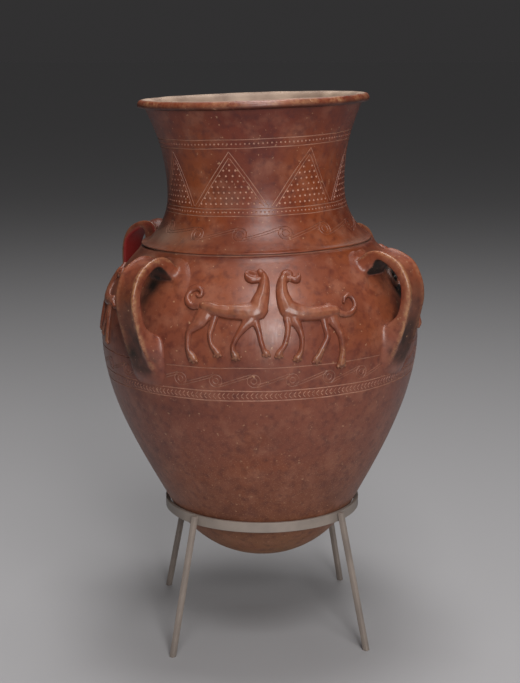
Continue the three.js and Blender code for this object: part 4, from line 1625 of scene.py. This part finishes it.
@dataclass
class Stand:
    """The painted steel stand: a ring of strip with square bar legs."""

    paint: Material
    ring_radius: float = 127.0
    strip_height: float = 12.7
    strip_thickness: float = 4.8
    bar: float = 6.35
    reach: float = 43.4
    gap: float = 0.3
    turn: float = 49.65
    legs: int = 4
    edge: float = 0.7

    def ring(self) -> None:
        """Makes the ring by spinning the strip's section, with its edges eased."""
        top, e = VASE.ring_top, self.edge
        inner, outer = self.ring_radius - self.strip_thickness, self.ring_radius
        low = top - self.strip_height
        profile = np.array([
            (inner + e, low), (outer - e, low), (outer, low + e), (outer, top - e),
            (outer - e, top), (inner + e, top), (inner, top - e), (inner, low + e), (inner + e, low)])
        piece = turned(profile, 192, "ring_steel")
        finished(piece, Body.STAND, self.paint, "stand_ring", sharp=30)

    def leg(self, index: int) -> None:
        """Makes one leg: a bar splayed from the ring to the floor, cut level at both ends.

        Args:
            index: Which leg, counted from the front right.
        """
        top = VASE.ring_top
        depth = self.bar / math.cos(math.atan(self.reach / top))
        bm = bmesh.new()
        bmesh.ops.create_cube(bm, size=1.0, matrix=Matrix.Translation((0, 0, top / 2))
                              @ Matrix.Diagonal((self.bar, depth, top, 1)))
        bmesh.ops.bevel(bm, geom=bm.edges[:], offset=self.edge, segments=2, profile=0.5,
                        affect="EDGES", material=-1)
        for vert in bm.verts:
            vert.co.y -= self.ring_radius + self.gap + depth / 2 + self.reach * (1 - vert.co.z / top)
        bmesh.ops.rotate(bm, verts=bm.verts[:], cent=(0, 0, 0),
                         matrix=Matrix.Rotation(math.radians(self.turn + index * 360 / self.legs), 3, "Z"))
        bmesh.ops.recalc_face_normals(bm, faces=bm.faces[:])
        piece = placed(meshed(bm, f"leg_{index + 1}_steel"), f"leg_{index + 1}_steel")
        finished(piece, Body.STAND, self.paint, f"stand_leg_{index + 1}", sharp=30)

    def build(self) -> None:
        """Makes the ring and the legs."""
        self.ring()
        for index in range(self.legs):
            self.leg(index)


# The studio


@dataclass(frozen=True)
class Studio:
    """Pale floor and backdrop, soft lamps, and the camera at the photograph's viewpoint.

    Each lamp has a name, a place and a size in metres, and a power in watts.
    """

    camera_place: tuple[float, float, float] = (-0.0027, -1.8215, 0.7568)
    camera_pitch: float = 0.205
    lens: float = 75.63
    floor_size: float = 60.0
    floor_colour: str = "#a3a1a2"
    sky: float = 0.12
    lamps: tuple = (
        ("key", (0.42, -2.45, 1.2), (0.45, 1.1), 29.0),
        ("front", (0.3, -1.7, 2.7), (1.2, 1.2), 38.0),
        ("top", (0.05, 0.12, 2.6), (0.8, 0.8), 29.0),
        ("back", (0.2, 2.0, 2.8), (1.8, 1.2), 12.0),
    )

    def build(self) -> None:
        """Makes the camera, the floor, the world and the lamps."""
        scene = bpy.context.scene
        scene.view_settings.view_transform = "Standard"
        camera = bpy.data.objects.new("camera", bpy.data.cameras.new("camera"))
        camera.data.lens = self.lens
        camera.data.sensor_width = 36.0
        camera.location = self.camera_place
        camera.rotation_euler = (math.pi / 2 - self.camera_pitch, 0, 0)
        scene.collection.objects.link(camera)
        scene.camera = camera
        bm = bmesh.new()
        bmesh.ops.create_circle(bm, cap_ends=True, segments=96, radius=self.floor_size)
        floor = placed(meshed(bm, "floor"), "floor")
        floor.data.materials.append(self.floor_finish())
        scene.world = self.surround()
        for name, place, size, power in self.lamps:
            lamp = bpy.data.lights.new(name, "AREA")
            lamp.shape = "RECTANGLE"
            lamp.size, lamp.size_y = size
            lamp.energy = power
            holder = bpy.data.objects.new(name, lamp)
            holder.location = place
            aim = Vector((0, 0, 0.4)) - Vector(place)
            holder.rotation_euler = aim.to_track_quat("-Z", "Y").to_euler()
            holder.visible_camera = False
            scene.collection.objects.link(holder)

    def surround(self) -> World:
        """An even pale sky, which the camera and reflections see at the brightness of the far floor."""
        world = bpy.data.worlds.new("studio")
        tree = emptied(world)
        colour = linear("#dcdcdd")
        floor = linear(self.floor_colour)
        seen = (*[a * b for a, b in zip(colour[:3], floor[:3])], 1.0)
        rays = add(tree, "ShaderNodeLightPath").outputs
        straight = rays["Is Camera Ray"]
        for kind in ("Is Glossy Ray", "Is Transmission Ray"):
            straight = add(tree, "ShaderNodeMath", {0: straight, 1: rays[kind]},
                           operation="MAXIMUM").outputs[0]
        light = add(tree, "ShaderNodeBackground", {"Color": colour, "Strength": self.sky})
        backdrop = add(tree, "ShaderNodeBackground", {"Color": seen, "Strength": self.sky})
        mix = add(tree, "ShaderNodeMixShader", {0: straight, 1: light.outputs[0], 2: backdrop.outputs[0]})
        add(tree, "ShaderNodeOutputWorld", {0: mix.outputs[0]})
        return world

    def floor_finish(self) -> Material:
        """A matt pale floor."""
        material = bpy.data.materials.new("pale_floor")
        material.use_nodes = True
        shader = material.node_tree.nodes["Principled BSDF"]
        shader.inputs["Base Color"].default_value = linear(self.floor_colour)
        shader.inputs["Roughness"].default_value = 0.8
        return material


def main() -> None:
    """Builds the studio, the vase and its stand."""
    logging.basicConfig(level=logging.INFO, format="%(relativeCreated)d %(message)s")
    Studio().build()
    clay = BurnishedSlip().make()
    Wall(clay).build()
    Lip(clay).build()
    handles = (
        Handle(clay, "handle_front_left", -42.0, ear_reach=1.15, worn=(1.0, 0.25)),
        Handle(clay, "handle_front_right", 53.8, lift=-2.5, twist=-5.0, fillet=1.4, ear_reach=0.9,
               worn=(0.3, 1.0)),
        Handle(clay, "handle_back_right", 139.0),
        Handle(clay, "handle_back_left", 229.5, lift=13.5, fillet=1.7, worn=(0.5, 0.15), slim=0.6,
               slip_from=-0.05))
    for handle in handles:
        handle.build()
    panels = (Panel("front", 5.5), Panel("right", 96.0), Panel("back", 184.25),
              Panel("left", 273.75, raised=12.0, scale=0.78, relief=0.62))
    left, right = Beast(clay, LEFT_BEAST), Beast(clay, RIGHT_BEAST)
    for panel in panels:
        left.lay(f"beast_{panel.name}_1", panel)
        right.lay(f"beast_{panel.name}_2", panel)
    Stand(PaintedSteel().make()).build()


if __name__ == "__main__":
    main()
